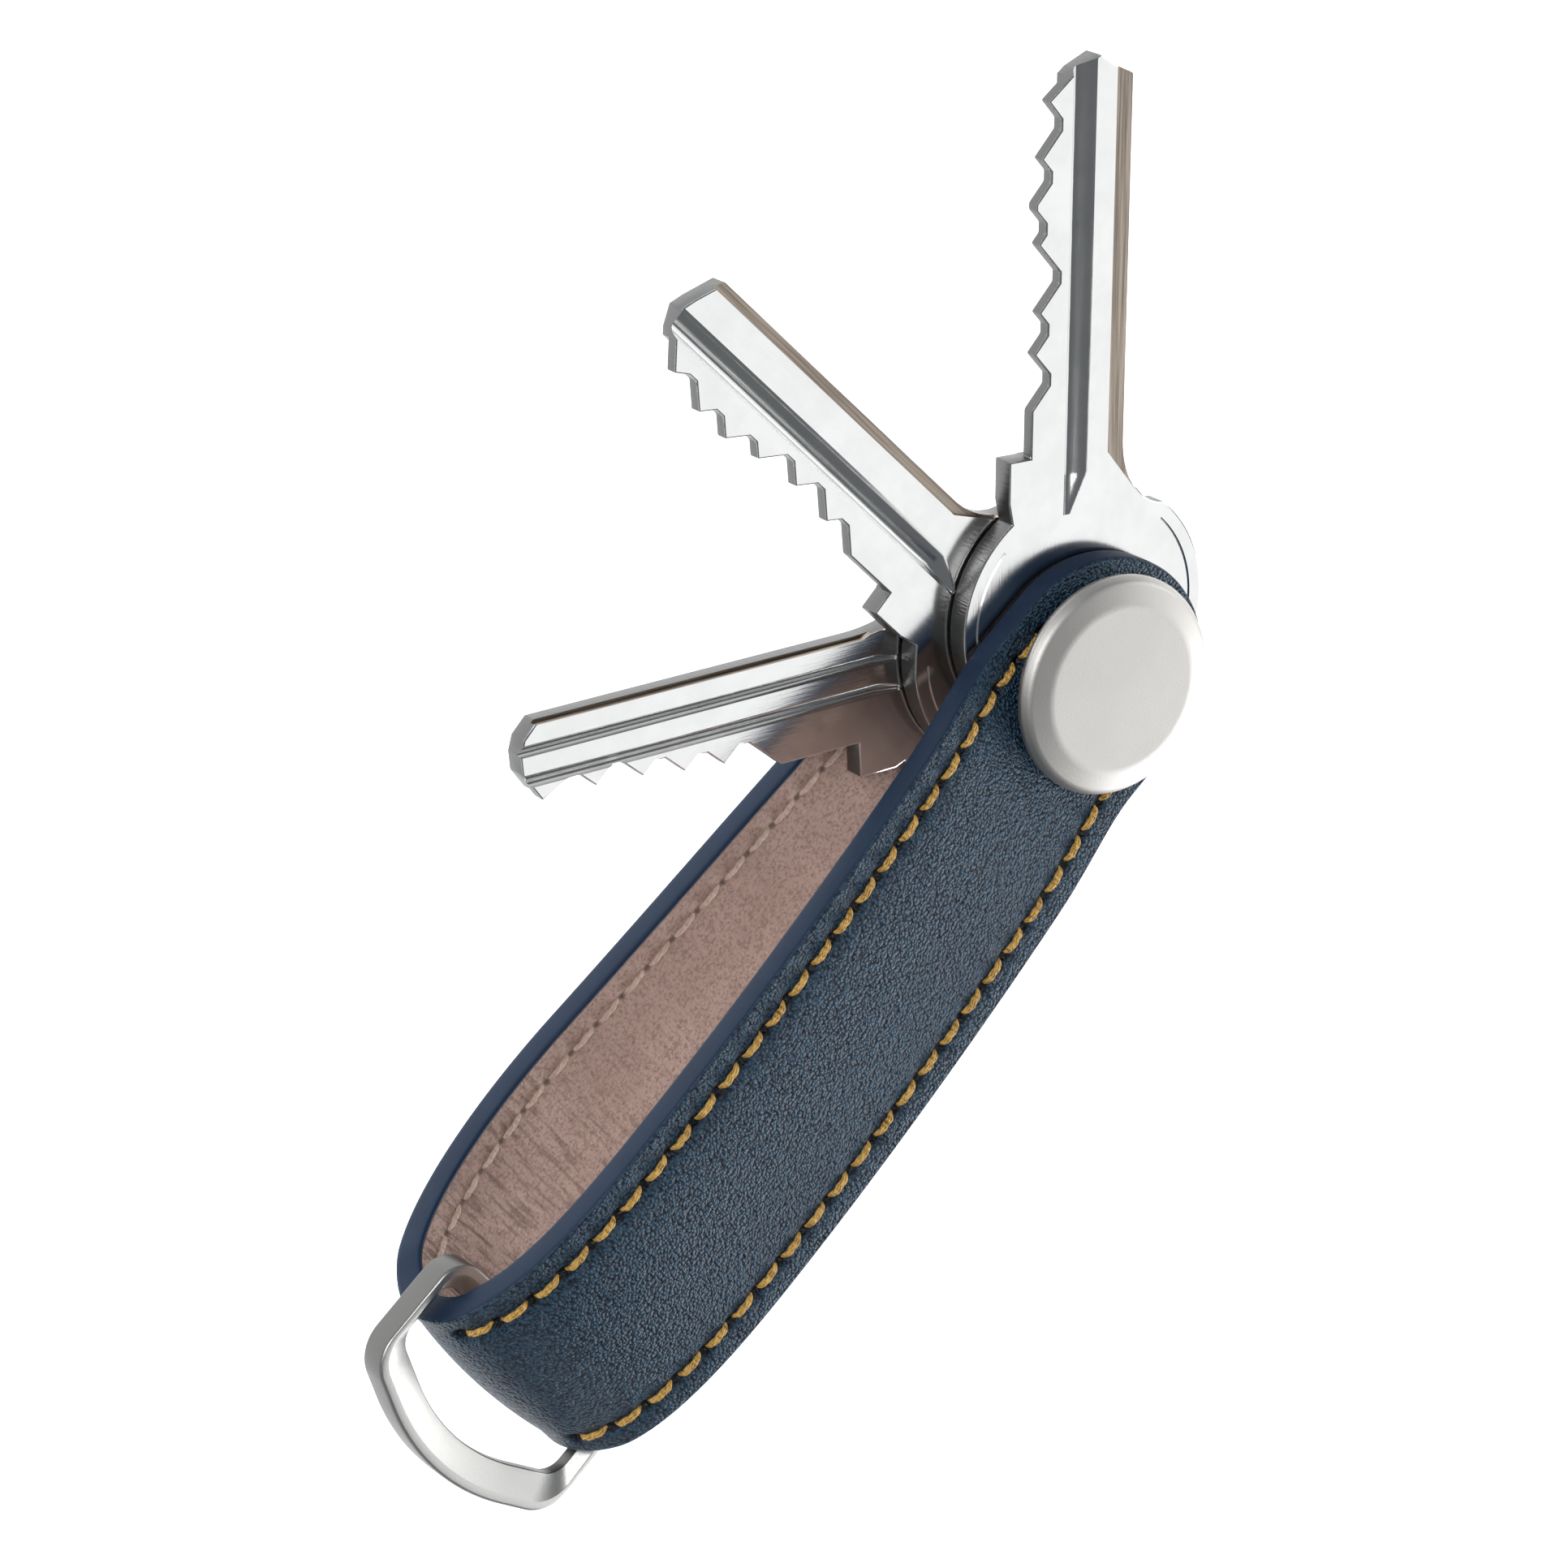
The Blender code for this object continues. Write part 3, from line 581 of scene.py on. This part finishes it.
# Darker at the stitch holes: painted shade in them.
pink.set("Base Color", pink.mix(pink_sewn.between(0.6, 1.4), pink_pivot_shaded, (0.10, 0.065, 0.052)))
pink.set("Roughness", 0.62 + fine_grain * 0.12)
wrinkles = creases * squeezed * 3.0 + folds * squeezed * 2.5
pink_height = fine_grain * 0.5 + (1 - follicles) * 0.25 + wrinkles
pink.set("Normal", pink.bumped(pink_height, 0.24 * MM))
finish_piece(lining, pink, "organiser", "lining_leather", "lining_leather")

# --- Core sheet and painted edge ---------------------------------------------------------------
# A thin fibre sheet is glued between the two leathers. The cut edge of all three is sanded round
# and sealed with several coats of dark blue edge paint, which leaves a smooth, slightly full rim.

EDGE_HIGH = TOP - 0.16 * MM
EDGE_LOW = 0.10 * MM - TOP
PAINT_BULGE = 0.045 * MM
paint_low = [(0.45, 0.1), (0.42, -0.015), (0.22, -0.02), (0.07, 0.03)]
paint_loops = turned_edge(paint_low, -TOP, 1)
for share in np.linspace(-0.92, 0.92, 9):
    level = (EDGE_HIGH + EDGE_LOW) / 2 + share * (EDGE_HIGH - EDGE_LOW) / 2
    paint_loops.append((0.02 * MM - PAINT_BULGE * (1 - share * share), level, 0))
paint_loops += [(0.08 * MM, EDGE_HIGH + 0.03 * MM, 0), (0.45 * MM, EDGE_HIGH, 0)]
paint_loops.append(paint_loops[0])
edge_paint = strap_piece("painted_edge", paint_loops, 0, 1, 1)

paint = Finish("dark_blue_edge_paint", specular_ior_level=0.22)
paint_flat = paint.attribute("flat", "Vector")
paint_waves = paint.noise(paint_flat, 350.0, 3.0)
paint_dust = paint.noise(paint_flat, 5000.0, 2.0)
paint_share = paint_waves.between(0.3, 0.7)
paint.set("Base Color", paint.mix(paint_share, (0.007, 0.022, 0.054), (0.010, 0.028, 0.064)))
paint.set("Roughness", 0.40 + paint_waves * 0.10 + paint_dust * 0.08)
paint.set("Normal", paint.bumped(paint_waves * 0.8 + paint_dust * 0.12, 0.05 * MM))
finish_piece(edge_paint, paint, "organiser", "outer_leather")


def refinish(node, finish):
    """Gives a CAD node that stays visible its own material."""
    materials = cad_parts[node].data.materials
    materials.clear()
    materials.append(finish.material)


core = Finish("brown_fibre_board", roughness=0.8)
core_fibres = core.noise(core.stretched(core.place(), (400.0, 4000.0, 4000.0)), 1.0, 3.0)
core.set("Base Color", core.mix(core_fibres, (0.16, 0.13, 0.10), (0.24, 0.20, 0.15)))
refinish("core_sheet", core)

# --- Threads -----------------------------------------------------------------------------------
# Lockstitch in thick three-ply thread: gold on the outer leather, tan on the lining. Each stitch
# comes up from one hole and goes down the next, and sinks into the valley it pulls in the leather.

PLY_TURNS = 0.85
PLIES = 3
STITCH_RINGS = 15
PLY_SIDES = 10

# Each ply's radius, its height over the leather, half the stitch's length, depth of its ends.
GOLD_STITCH = (0.180 * MM, 0.02 * MM, 1.24 * MM, 0.50 * MM)
TAN_STITCH = (0.140 * MM, 0.03 * MM, 1.36 * MM, 0.38 * MM)


def thread_piece(name, middles, surface, face, ply, crown, reach, sink):
    """All the stitches of one arm's thread on one side, both rows."""
    share = np.linspace(-1, 1, STITCH_RINGS)
    fold = 1 - np.abs(share) ** 4
    around = np.linspace(0, 2 * math.pi, PLY_SIDES, endpoint=False)
    points = []
    plies = []
    for middle in middles:
        for side in (1, -1):
            for start in np.arange(PLIES) * 2 * math.pi / PLIES:
                angle = start + math.pi * PLY_TURNS * share + middle * 977
                width = ply * (0.62 + 0.38 * fold)
                offset = ply * 0.85 * (0.30 + 0.70 * fold)
                across = side * STITCH_ROW - share * SLANT * face + offset * np.cos(angle)
                middle_lift = surface + face * (crown * fold - sink * (1 - fold))
                lift = middle_lift + offset * np.sin(angle) * 0.8
                ring_across = across[:, None] + width[:, None] * np.cos(around)
                ring_out = lift[:, None] + width[:, None] * np.sin(around)
                ring_along = (middle + share * reach)[:, None]
                points.append(on_strap(ring_along, ring_across, ring_out).reshape(-1, 3))
                on_ply = np.broadcast_arrays(share[:, None] * 2.0, around / math.pi, middle * 500)
                plies.append(np.stack(on_ply, -1).reshape(-1, 3))
    faces = []
    for ply_index in range(len(points)):
        base = ply_index * STITCH_RINGS * PLY_SIDES
        for ring in range(STITCH_RINGS - 1):
            for i in range(PLY_SIDES):
                j = (i + 1) % PLY_SIDES
                one = base + ring * PLY_SIDES
                other = one + PLY_SIDES
                faces.append((one + i, one + j, other + j, other + i))
        last = base + (STITCH_RINGS - 1) * PLY_SIDES
        faces.append(tuple(base + i for i in range(PLY_SIDES)))
        faces.append(tuple(last + i for i in range(PLY_SIDES)))
    mesh = bpy.data.meshes.new(name)
    mesh.from_pydata(np.concatenate(points).tolist(), [], faces)
    layer = mesh.attributes.new("ply", "FLOAT_VECTOR", "POINT")
    layer.data.foreach_set("vector", np.concatenate(plies).astype(np.float32).ravel())
    shape = bmesh.new()
    shape.from_mesh(mesh)
    bmesh.ops.recalc_face_normals(shape, faces=shape.faces)
    shape.to_mesh(mesh)
    shape.free()
    mesh.shade_smooth()
    piece = bpy.data.objects.new(name, mesh)
    bpy.context.scene.collection.objects.link(piece)
    return piece


def thread_finish(name, dark, light):
    """Twisted fibres that run round the ply on a slant, with a soft nap."""
    finish = Finish(name, roughness=0.55, specular_ior_level=0.4)
    ply = finish.attribute("ply", "Vector")
    strands = finish.noise(finish.stretched(ply, (2.4, 4.5, 3.0)), 1.0, 3.0, 0.6)
    tint = finish.noise(finish.stretched(ply, (0.3, 0.3, 1.0)), 1.0, 1.0)
    # The colour runs from dark in the low strands to light on the high ones: the fibres' uneven
    # tone, plus painted shade between them and a painted highlight on them.
    finish.set("Base Color", finish.mix(strands.between(0.32, 0.62), dark, light))
    finish.set("Roughness", 0.45 + tint * 0.2)
    finish.set("Normal", finish.bumped(strands, 0.05 * MM))
    return finish


# Each thread's dark and light colours span painted shade to a painted highlight.
gold = thread_finish("gold_sewing_thread", (0.19, 0.085, 0.012), (0.92, 0.56, 0.15))
tan = thread_finish("tan_sewing_thread", (0.44, 0.31, 0.25), (0.74, 0.58, 0.50))
all_middles = stitch_middles()
for arm, middles in (("front", all_middles[:ROW_STITCHES]), ("back", all_middles[ROW_STITCHES:])):
    top_thread = thread_piece(f"{arm}_top_stitches", middles, TOP, 1, *GOLD_STITCH)
    finish_piece(top_thread, gold, "organiser", "gold_thread", f"{arm}_top_thread")
    bobbin = thread_piece(f"{arm}_bobbin_stitches", middles, -TOP, -1, *TAN_STITCH)
    finish_piece(bobbin, tan, "organiser", "tan_thread", f"{arm}_bobbin_thread")

# --- Front cap and threaded sleeve -------------------------------------------------------------
# A turned stainless steel head with a flat face and a bevelled shoulder, bead-blasted to a fine
# frosted finish and pressed on to the sleeve that the keys turn on.

CAP_STEPS = 144


def eased(points, radii, steps=5):
    """(radius, height) points with each inside corner turned into an arc of its radius."""
    line = [points[0]]
    for before, corner, after, radius in zip(points, points[1:], points[2:], radii):
        here = Vector(corner)
        to_before = (Vector(before) - here).normalized()
        to_after = (Vector(after) - here).normalized()
        half = to_before.angle(to_after) / 2
        if radius == 0 or half > 1.56:
            line.append(corner)
            continue
        middle = here + (to_before + to_after).normalized() * (radius / math.sin(half))
        start = here + to_before * (radius / math.tan(half)) - middle
        end = here + to_after * (radius / math.tan(half)) - middle
        sweep = start.angle_signed(end)
        for step in range(steps + 1):
            arc = middle + Matrix.Rotation(-sweep * step / steps, 2) @ start
            line.append((arc.x, arc.y))
    line.append(points[-1])
    return line


CAP_HEIGHT = 2.8 * MM
CAP_SEAT_GAP = 0.05 * MM
CAP_STEM = 1.9 * MM

# Millimetres out and up, from the middle of the face to the foot; then each corner's radius.
cap_corners = [(0, 2.80), (7.10, 2.80), (8.95, 2.26), (9.43, 1.55), (9.30, 0.95)]
cap_corners += [(5.80, 0.0), (1.9, 0.0)]
cap_corners = [(r * MM, h * MM) for r, h in cap_corners]
cap_line = eased(cap_corners, [r * MM for r in (2.4, 0.9, 0.5, 0.4, 0.15)], 8)


def blasted_steel(name, colour, roughness, wall_shade_colour=None):
    """Bead-blasted steel: fine even pits and a faint cloudiness, with upright walls greyer as
    painted shade.
    """
    finish = Finish(name, metallic=1.0)
    place = finish.place()
    pits = finish.noise(place, 4200.0, 3.0, 0.65)
    cloud = finish.noise(place, 160.0, 3.0)
    darker = tuple(c * 0.93 for c in colour)
    face_colour = finish.mix(cloud.between(0.3, 0.7) * 0.6 + pits * 0.3, darker, colour)
    # Upright walls take the darker colour: painted shade on the sides.
    if wall_shade_colour:
        face_colour = finish.mix(finish.steepness(0.35, 0.85), face_colour, wall_shade_colour)
    finish.set("Base Color", face_colour)
    finish.set("Roughness", roughness + pits * 0.06 + cloud * 0.03)
    finish.set("Normal", finish.bumped(pits, 0.012 * MM))
    return finish


frosted = blasted_steel("bead_blasted_steel", (0.63, 0.615, 0.59), 0.46)
sleeve_top = FRONT_SEAT + 1.3 * MM
cap_profile = [(r, FRONT_SEAT + max(h, CAP_SEAT_GAP)) for r, h in cap_line]
cap_profile += [(CAP_STEM, sleeve_top + 0.1 * MM), (0, sleeve_top + 0.1 * MM)]
front_cap = turned("front_cap_head", cap_profile, CAP_STEPS, 30)
finish_piece(front_cap, frosted, "organiser", "satin_steel", "front_cap")
refinish("threaded_sleeve", frosted)

# --- Locking screw -----------------------------------------------------------------------------
# The same turned head on the back, with a milled coin slot and a threaded stud that screws into
# the sleeve and clamps the stack.

STUD_RADIUS = 1.78 * MM
STUD_REACH = 7.2 * MM
THREAD_PITCH = 0.7 * MM
THREAD_RISE = 0.09 * MM
SLOT_HALF_WIDTH = 0.9 * MM
SLOT_HALF_LENGTH = 5.5 * MM
SLOT_DEPTH = 1.2 * MM
screw_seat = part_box("locking_screw")[0].z + CAP_HEIGHT


def thread_ridge(radius, height, angle):
    """How far the stud's thread stands out at a height and angle."""
    if abs(radius - STUD_RADIUS) > 1e-6:
        return 0
    share = (height / THREAD_PITCH - angle / (2 * math.pi)) % 1
    return THREAD_RISE * (1 - abs(2 * share - 1) * 2)


stud_step = THREAD_PITCH / 8
stud_rows = [(STUD_RADIUS, h * stud_step) for h in range(2, int(STUD_REACH / stud_step) - 2)]
screw_profile = [(0, STUD_REACH), (STUD_RADIUS - 0.35 * MM, STUD_REACH)]
stud_root = STUD_RADIUS + 0.01 * MM
screw_profile += stud_rows[::-1] + [(stud_root, 0.05 * MM), (stud_root, 0)]
screw_profile += [(r, -h) for r, h in cap_line[:-1][::-1]]
screw = turned("locking_screw_head", screw_profile, CAP_STEPS, 30, thread_ridge)
slot_shape = bmesh.new()
bmesh.ops.create_cube(slot_shape, size=2)
slot_scale = Vector((SLOT_HALF_WIDTH, SLOT_HALF_LENGTH, SLOT_DEPTH))
bmesh.ops.scale(slot_shape, vec=slot_scale, verts=slot_shape.verts)
ends = [e for e in slot_shape.edges if abs((e.verts[0].co - e.verts[1].co).z) > SLOT_DEPTH]
bmesh.ops.bevel(slot_shape, geom=ends, offset=0.8 * MM, segments=6, affect="EDGES", profile=0.5)
slot_cutter = solid("slot_cutter", slot_shape)
slot_cutter.location.z = -CAP_HEIGHT
cut(screw, [slot_cutter])
screw.data.transform(Matrix.Translation((0, 0, screw_seat)))
finish_piece(screw, frosted, "locking_screw", "satin_steel", "locking_screw")

# --- Washers -----------------------------------------------------------------------------------
# Thin plain rings on the sleeve: white nylon between the keys and a dished spring ring behind
# them that gives the keys their friction.

nylon = Finish("white_nylon", specular_ior_level=0.5)
nylon_cloud = nylon.noise(nylon.place(), 700.0, 3.0)
nylon.set("Base Color", nylon.mix(nylon_cloud, (0.70, 0.70, 0.67), (0.78, 0.78, 0.75)))
nylon.set("Roughness", 0.42 + nylon_cloud * 0.15)
spring = Finish("spring_steel", metallic=1.0)
spring_lines = spring.noise(spring.stretched(spring.place(), (200.0, 9000.0, 200.0)), 1.0, 3.0)
spring.set("Base Color", spring.mix(spring_lines, (0.38, 0.38, 0.39), (0.52, 0.52, 0.52)))
spring.set("Roughness", 0.26 + spring_lines * 0.14)
for node, finish in (
    ("front_washer", nylon),
    ("front_spacer_washer", nylon),
    ("back_spacer_washer", nylon),
    ("back_washer", nylon),
    ("screw_washer", nylon),
    ("tension_washer", spring),
):
    refinish(node, finish)

# --- Keys --------------------------------------------------------------------------------------
# Three nickel-plated brass house keys: stamped, milled along the blade, and cut along one edge.
# The plating is bright, with fine polishing lines along the blade and file marks in the cuts.

KEY_THICKNESS = 2.1 * MM
HEAD_LENGTH = 22.2
HEAD_WIDTH = 24.0
HEAD_OFFSET = 5.0
HEAD_STEPS = 96
KEY_HOLE = 3.05
STOP_AT = 19.1
STOP_LENGTH = 3.5
HEAD_FILLET = 4.0
KEY_BEVEL = 0.13 * MM
CUT_SLOPE = 0.87
CUT_FLAT = 0.9
MILLED_THICKNESS = 1.1 * MM
MILLED_DEPTH = 3.2
GROOVE_START = 17.2
GROOVE_RUN_OUT = 3.4
GROOVE_STEPS = 22
STEP_START = 18.5
BLADE_END = 53.0
RIM_LINE_INSET = 1.25
RIM_LINE_WIDTH = 0.22
RIM_LINE_DEPTH = 0.10 * MM

# Millimetres along the blade from the pivot, and across it towards the cut edge.
KEYS = {
    "key_1": {
        "turn": 48.2,
        "edge": 5.7,
        "back": -3.9,
        "stop": 7.8,
        "tip": ((51.8, -0.3), (50.8, 1.9), (48.5, 4.7)),
        "tip_back": ((49.8, -3.9), (50.8, -1.8)),
        "first_cut": 46.5,
        "pitch": 4.20,
        "depths": (2.3, 1.4, 1.0, 2.5, 1.4, 1.7),
        "grooves": ((0.0, 2.35, 0.8),),
        "step": (1.9, 0.5),
    },
    "key_2": {
        "turn": 94.4,
        "edge": 5.7,
        "back": -3.6,
        "stop": 7.8,
        "tip": ((51.9, 0.3), (51.1, 2.0), (48.9, 4.5)),
        "tip_back": ((50.0, -3.6), (51.4, -0.9)),
        "first_cut": 47.2,
        "pitch": 4.05,
        "depths": (1.9, 1.3, 1.6, 2.5, 2.5, 1.7),
        "grooves": ((0.2, 2.4, 0.8),),
        "step": (1.0, 0.4),
    },
    "key_3": {
        "turn": 141.2,
        "edge": 3.3,
        "back": -5.8,
        "stop": 6.3,
        "tip": ((51.1, -3.2), (51.0, -1.6), (49.3, 0.9)),
        "tip_back": ((49.4, -5.8), (50.7, -4.5)),
        "first_cut": 46.2,
        "pitch": 4.00,
        "depths": (3.7, 3.8, 3.2, 2.7, 2.6),
        "grooves": ((-4.05, -3.05, 0.6), (-1.55, -0.4, 0.6)),
        "step": (0.25, 0.7),
    },
}


def lofted(rings, closed=False):
    """A bmesh skinned over rings of equal length, with flat ends unless it closes on itself."""
    shape = bmesh.new()
    rows = [[shape.verts.new(point) for point in ring] for ring in rings]
    pairs = list(zip(rows, rows[1:]))
    if closed:
        pairs.append((rows[-1], rows[0]))
    else:
        shape.faces.new(rows[0])
        shape.faces.new(rows[-1])
    for one, other in pairs:
        for i in range(len(one)):
            j = (i + 1) % len(one)
            shape.faces.new((one[i], one[j], other[j], other[i]))
    return shape


def plate(outline, low, high):
    """An upright plate over an outline in millimetres, between two heights in metres."""
    return lofted([[(x * MM, y * MM, z) for x, y in outline] for z in (low, high)])


def cut_edge(key):
    """The coded edge from the tip to the shoulder: flat-bottomed cuts with sloping flanks."""
    edge = key["edge"]
    half = CUT_FLAT / 2
    cuts = [(key["first_cut"] - i * key["pitch"], d) for i, d in enumerate(key["depths"])]
    points = []
    for i, (along, depth) in enumerate(cuts):
        points += [(along + half, edge - depth), (along - half, edge - depth)]
        flank_top = along - half - depth / CUT_SLOPE
        if i + 1 == len(cuts):
            points.append((flank_top, edge))
            continue
        following, next_depth = cuts[i + 1]
        gap = along - following - CUT_FLAT
        rise = (gap * CUT_SLOPE + depth - next_depth) / 2
        if rise <= depth:
            points.append((along - half - rise / CUT_SLOPE, edge - depth + rise))
        else:
            points.append((flank_top, edge))
            points.append((following + half + next_depth / CUT_SLOPE, edge))
    return points


def head_point(angle, inset=0.0):
    return (
        HEAD_OFFSET + (HEAD_LENGTH / 2 - inset) * math.cos(angle),
        (HEAD_WIDTH / 2 - inset) * math.sin(angle),
    )


def key_outline(key):
    edge, back, stop = key["edge"], key["back"], key["stop"]
    outline = list(key["tip"]) + cut_edge(key)
    outline += [(STOP_AT, edge), (STOP_AT, stop), (STOP_AT - STOP_LENGTH, stop)]
    start = math.asin((stop - 0.4) / (HEAD_WIDTH / 2))
    end = 2 * math.pi - math.asin((HEAD_FILLET - back) / (HEAD_WIDTH / 2))
    outline += [head_point(start + (end - start) * i / HEAD_STEPS) for i in range(HEAD_STEPS + 1)]
    x, y = outline[-1]
    for i in range(1, 15):
        a = math.pi / 2 * i / 14
        outline.append((x + (STOP_AT - x) * (1 - math.cos(a)), y + (back - y) * math.sin(a)))
    return outline + list(key["tip_back"])


def milled_groove(low, high, depth, top):
    """The cutter's path: a hollow, steeper on its high side, that runs out before the head."""
    rings = []
    for share in (-1, -0.85, -0.65, -0.45, -0.25, -0.1, 0, 1):
        out = max(-share, 0)
        along = GROOVE_START - GROOVE_RUN_OUT * out if share < 1 else BLADE_END
        left = low + (high - low) * 0.7 * out
        sink = depth * MM * (1 - 0.9 * out)
        hollow = []
        for i in range(GROOVE_STEPS + 1):
            across = i / GROOVE_STEPS
            level = top - sink * math.sin(math.pi * across**1.9)
            hollow.append((along * MM, (left + (high - left) * across) * MM, level))
        lid = [(along * MM, high * MM, top + depth * MM), (along * MM, left * MM, top + depth * MM)]
        rings.append(hollow + lid)
    return lofted(rings)


def rim_line(key, top):
    """A fine engraved line that follows the head's rim."""
    start = math.asin((key["stop"] + 1.2) / (HEAD_WIDTH / 2))
    end = 2 * math.pi - math.asin((HEAD_FILLET + 0.6 - key["back"]) / (HEAD_WIDTH / 2))
    rings = []
    for i in range(HEAD_STEPS + 1):
        a = start + (end - start) * i / HEAD_STEPS
        ring = []
        for side, level in ((-1, 1), (-1, 0), (0, -1), (1, 0), (1, 1)):
            x, y = head_point(a, RIM_LINE_INSET + side * RIM_LINE_WIDTH / 2)
            ring.append((x * MM, y * MM, top + level * RIM_LINE_DEPTH))
        rings.append(ring)
    return lofted(rings)


def build_key(name, key):
    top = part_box(name)[1].z
    bottom = top - KEY_THICKNESS
    piece = solid(f"{name}_blank", plate(key_outline(key), bottom, top))
    bevel = piece.modifiers.new("edges", "BEVEL")
    bevel.width = KEY_BEVEL
    bevel.segments = 2
    bevel.limit_method = "ANGLE"
    bevel.angle_limit = math.radians(30)
    bevel.use_clamp_overlap = True
    settle(piece)
    above = top + 0.5 * MM
    turns = np.linspace(0, 2 * math.pi, 65)[:-1] + 0.03
    hole = [(KEY_HOLE * math.cos(a), KEY_HOLE * math.sin(a)) for a in turns]
    cutters = [solid("hole", plate(hole, bottom - 0.5 * MM, above))]
    for low, high, depth in key["grooves"]:
        cutters.append(solid("groove", milled_groove(low, high, depth, top)))
    width, depth = key["step"]
    ledge = key["back"] + width
    shelf = [(STEP_START - 3.6, key["back"] - 6), (BLADE_END, key["back"] - 6), (BLADE_END, ledge)]
    shelf += [(STEP_START, ledge), (STEP_START - 3.6, key["back"] - 1)]
    cutters.append(solid("step", plate(shelf, top - depth * MM, above)))
    milled = key["edge"] - MILLED_DEPTH
    past = key["edge"] + 1
    relief = [(STOP_AT, milled), (BLADE_END, milled), (BLADE_END, past), (STOP_AT, past)]
    cutters.append(solid("relief", plate(relief, bottom - 0.5 * MM, top - MILLED_THICKNESS)))
    cutters.append(solid("rim_line", rim_line(key, top)))
    cut(piece, cutters)
    settle(piece, 32)
    mesh = piece.data
    for face in mesh.polygons:
        x, y, z = face.center / MM
        face.use_smooth = abs(face.normal.z) < 0.999
        below = top / MM - z
        on_ledge = x > STEP_START - 4 and y < ledge + 0.02 and 0.02 < below < depth + 0.02
        if on_ledge:
            face.material_index = 1
    places = np.array([v.co for v in mesh.vertices])
    blade = mesh.attributes.new("blade", "FLOAT_VECTOR", "POINT")
    blade.data.foreach_set("vector", places.astype(np.float32).ravel())
    mesh.transform(Matrix.Rotation(math.radians(key["turn"]), 4, "Z"))
    return piece


plating = Finish("nickel_plating", metallic=1.0)
blade = plating.attribute("blade", "Vector")
polish = plating.noise(plating.stretched(blade, (260.0, 5200.0, 5200.0)), 1.0, 4.0, 0.6)
file_marks = plating.noise(plating.stretched(blade, (5200.0, 5200.0, 500.0)), 1.0, 2.0, 0.6)
handling = plating.noise(blade, 260.0, 4.0, 0.6)
wall = plating.steepness(0.15, 0.50)
bright = plating.mix(handling.between(0.3, 0.7), (0.73, 0.73, 0.725), (0.79, 0.79, 0.785))
# The plating on upright walls is darkened almost to black: painted shade on the cut flanks and
# edges.
plating.set("Base Color", plating.mix(wall * 0.9, bright, (0.09, 0.09, 0.088)))
plating.set("Roughness", 0.10 + polish * 0.07 + handling * 0.05 + wall * 0.2)
lines = polish * (1 - wall) * 0.35 + file_marks * wall * 1.6
plating.set("Normal", plating.bumped(lines, 0.022 * MM))
worn = Finish("worn_brass_ledge", metallic=1.0)
worn_blade = worn.attribute("blade", "Vector")
worn_lines = worn.noise(worn.stretched(worn_blade, (90.0, 4200.0, 4200.0)), 1.0, 4.0, 0.6)
worn_share = worn_lines.between(0.3, 0.7)
worn.set("Base Color", worn.mix(worn_share, (0.20, 0.165, 0.135), (0.42, 0.36, 0.30)))
worn.set("Roughness", 0.24 + worn_lines * 0.2)
worn.set("Normal", worn.bumped(worn_lines, 0.02 * MM))
for name, key in KEYS.items():
    key_blank = build_key(name, key)
    finish_piece(key_blank, plating, name, "plated_key", name)
    key_blank.data.materials.append(worn.material)

# --- D-ring ------------------------------------------------------------------------------------
# A cast steel ring with a straight bar inside the strap's bend and a wide flat bow, ground to a
# sloping face on both sides and bead-blasted like the caps.

RING_BAR = 2.4 * MM
RING_ARM = 1.4 * MM
RING_EYE = 21.3 * MM
RING_BOW_REACH = 13.1 * MM
RING_BOW = 3.2 * MM
RING_BOW_ANGLE = math.radians(22)
RING_RIM = 0.6 * MM
RING_EDGE = 0.28 * MM
RING_INNER_HEIGHT = 1.14 * MM
ring_low, ring_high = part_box("d_ring")


def bow_outline(bar_side, half, bow, radius, corners):
    """A D outline from its bar's side, half width, bow's farthest point and corner radii."""
    apex = bow + radius - radius / math.cos(RING_BOW_ANGLE)
    knee = apex + half * math.tan(RING_BOW_ANGLE)
    points = [(bar_side, half), (bar_side, -half), (knee, -half), (apex, 0), (knee, half)]
    radii = [corners[0], corners[0], corners[1], radius, corners[1]]
    outline = []
    for i, corner in enumerate(points):
        around = [points[i - 1], corner, points[(i + 1) % 5]]
        outline += eased(around, [radii[i]], 24)[1:-1]
    return outline


bar = RING_BAR / 2
outside = bow_outline(bar, RING_EYE / 2 + RING_ARM, -RING_BOW_REACH, 20 * MM, (2.6 * MM, 3.6 * MM))
inside = bow_outline(-bar, RING_EYE / 2, RING_BOW - RING_BOW_REACH, 17 * MM, (1.2 * MM, 2.1 * MM))
ring_tall = (ring_high.z - ring_low.z) / 2
ring_short = RING_INNER_HEIGHT / 2
ring_centre = Vector((ring_low.x + RING_BOW_REACH, 0, (ring_low.z + ring_high.z) / 2))
ring_rings = []
for (ox, oy), (ix, iy) in zip(outside, inside):
    width = math.hypot(ix - ox, iy - oy)
    crest = RING_EDGE + RING_RIM
    half_section = [(0, 0), (0, ring_tall), (crest, ring_tall), (width, ring_short), (width, 0)]
    upper = eased(half_section, [RING_EDGE, 0.18 * MM, 0.16 * MM], 4)
    section = upper[1:-1] + [(across, -level) for across, level in upper[1:-1][::-1]]
    section = [(min(max(across, 0), width), level) for across, level in section]
    ring_rings.append(
        [
            ring_centre + Vector((ox + (ix - ox) * a / width, oy + (iy - oy) * a / width, level))
            for a, level in section
        ]
    )
ring = solid("d_ring_casting", lofted(ring_rings, closed=True), 24)
RING_FACE = (0.68, 0.675, 0.655)
# The ring's walls are coloured dark grey as painted shade.
RING_WALL_SHADE = (0.16, 0.16, 0.155)
satin = blasted_steel("satin_ring_steel", RING_FACE, 0.32, RING_WALL_SHADE)
finish_piece(ring, satin, "d_ring", "satin_steel", "d_ring")
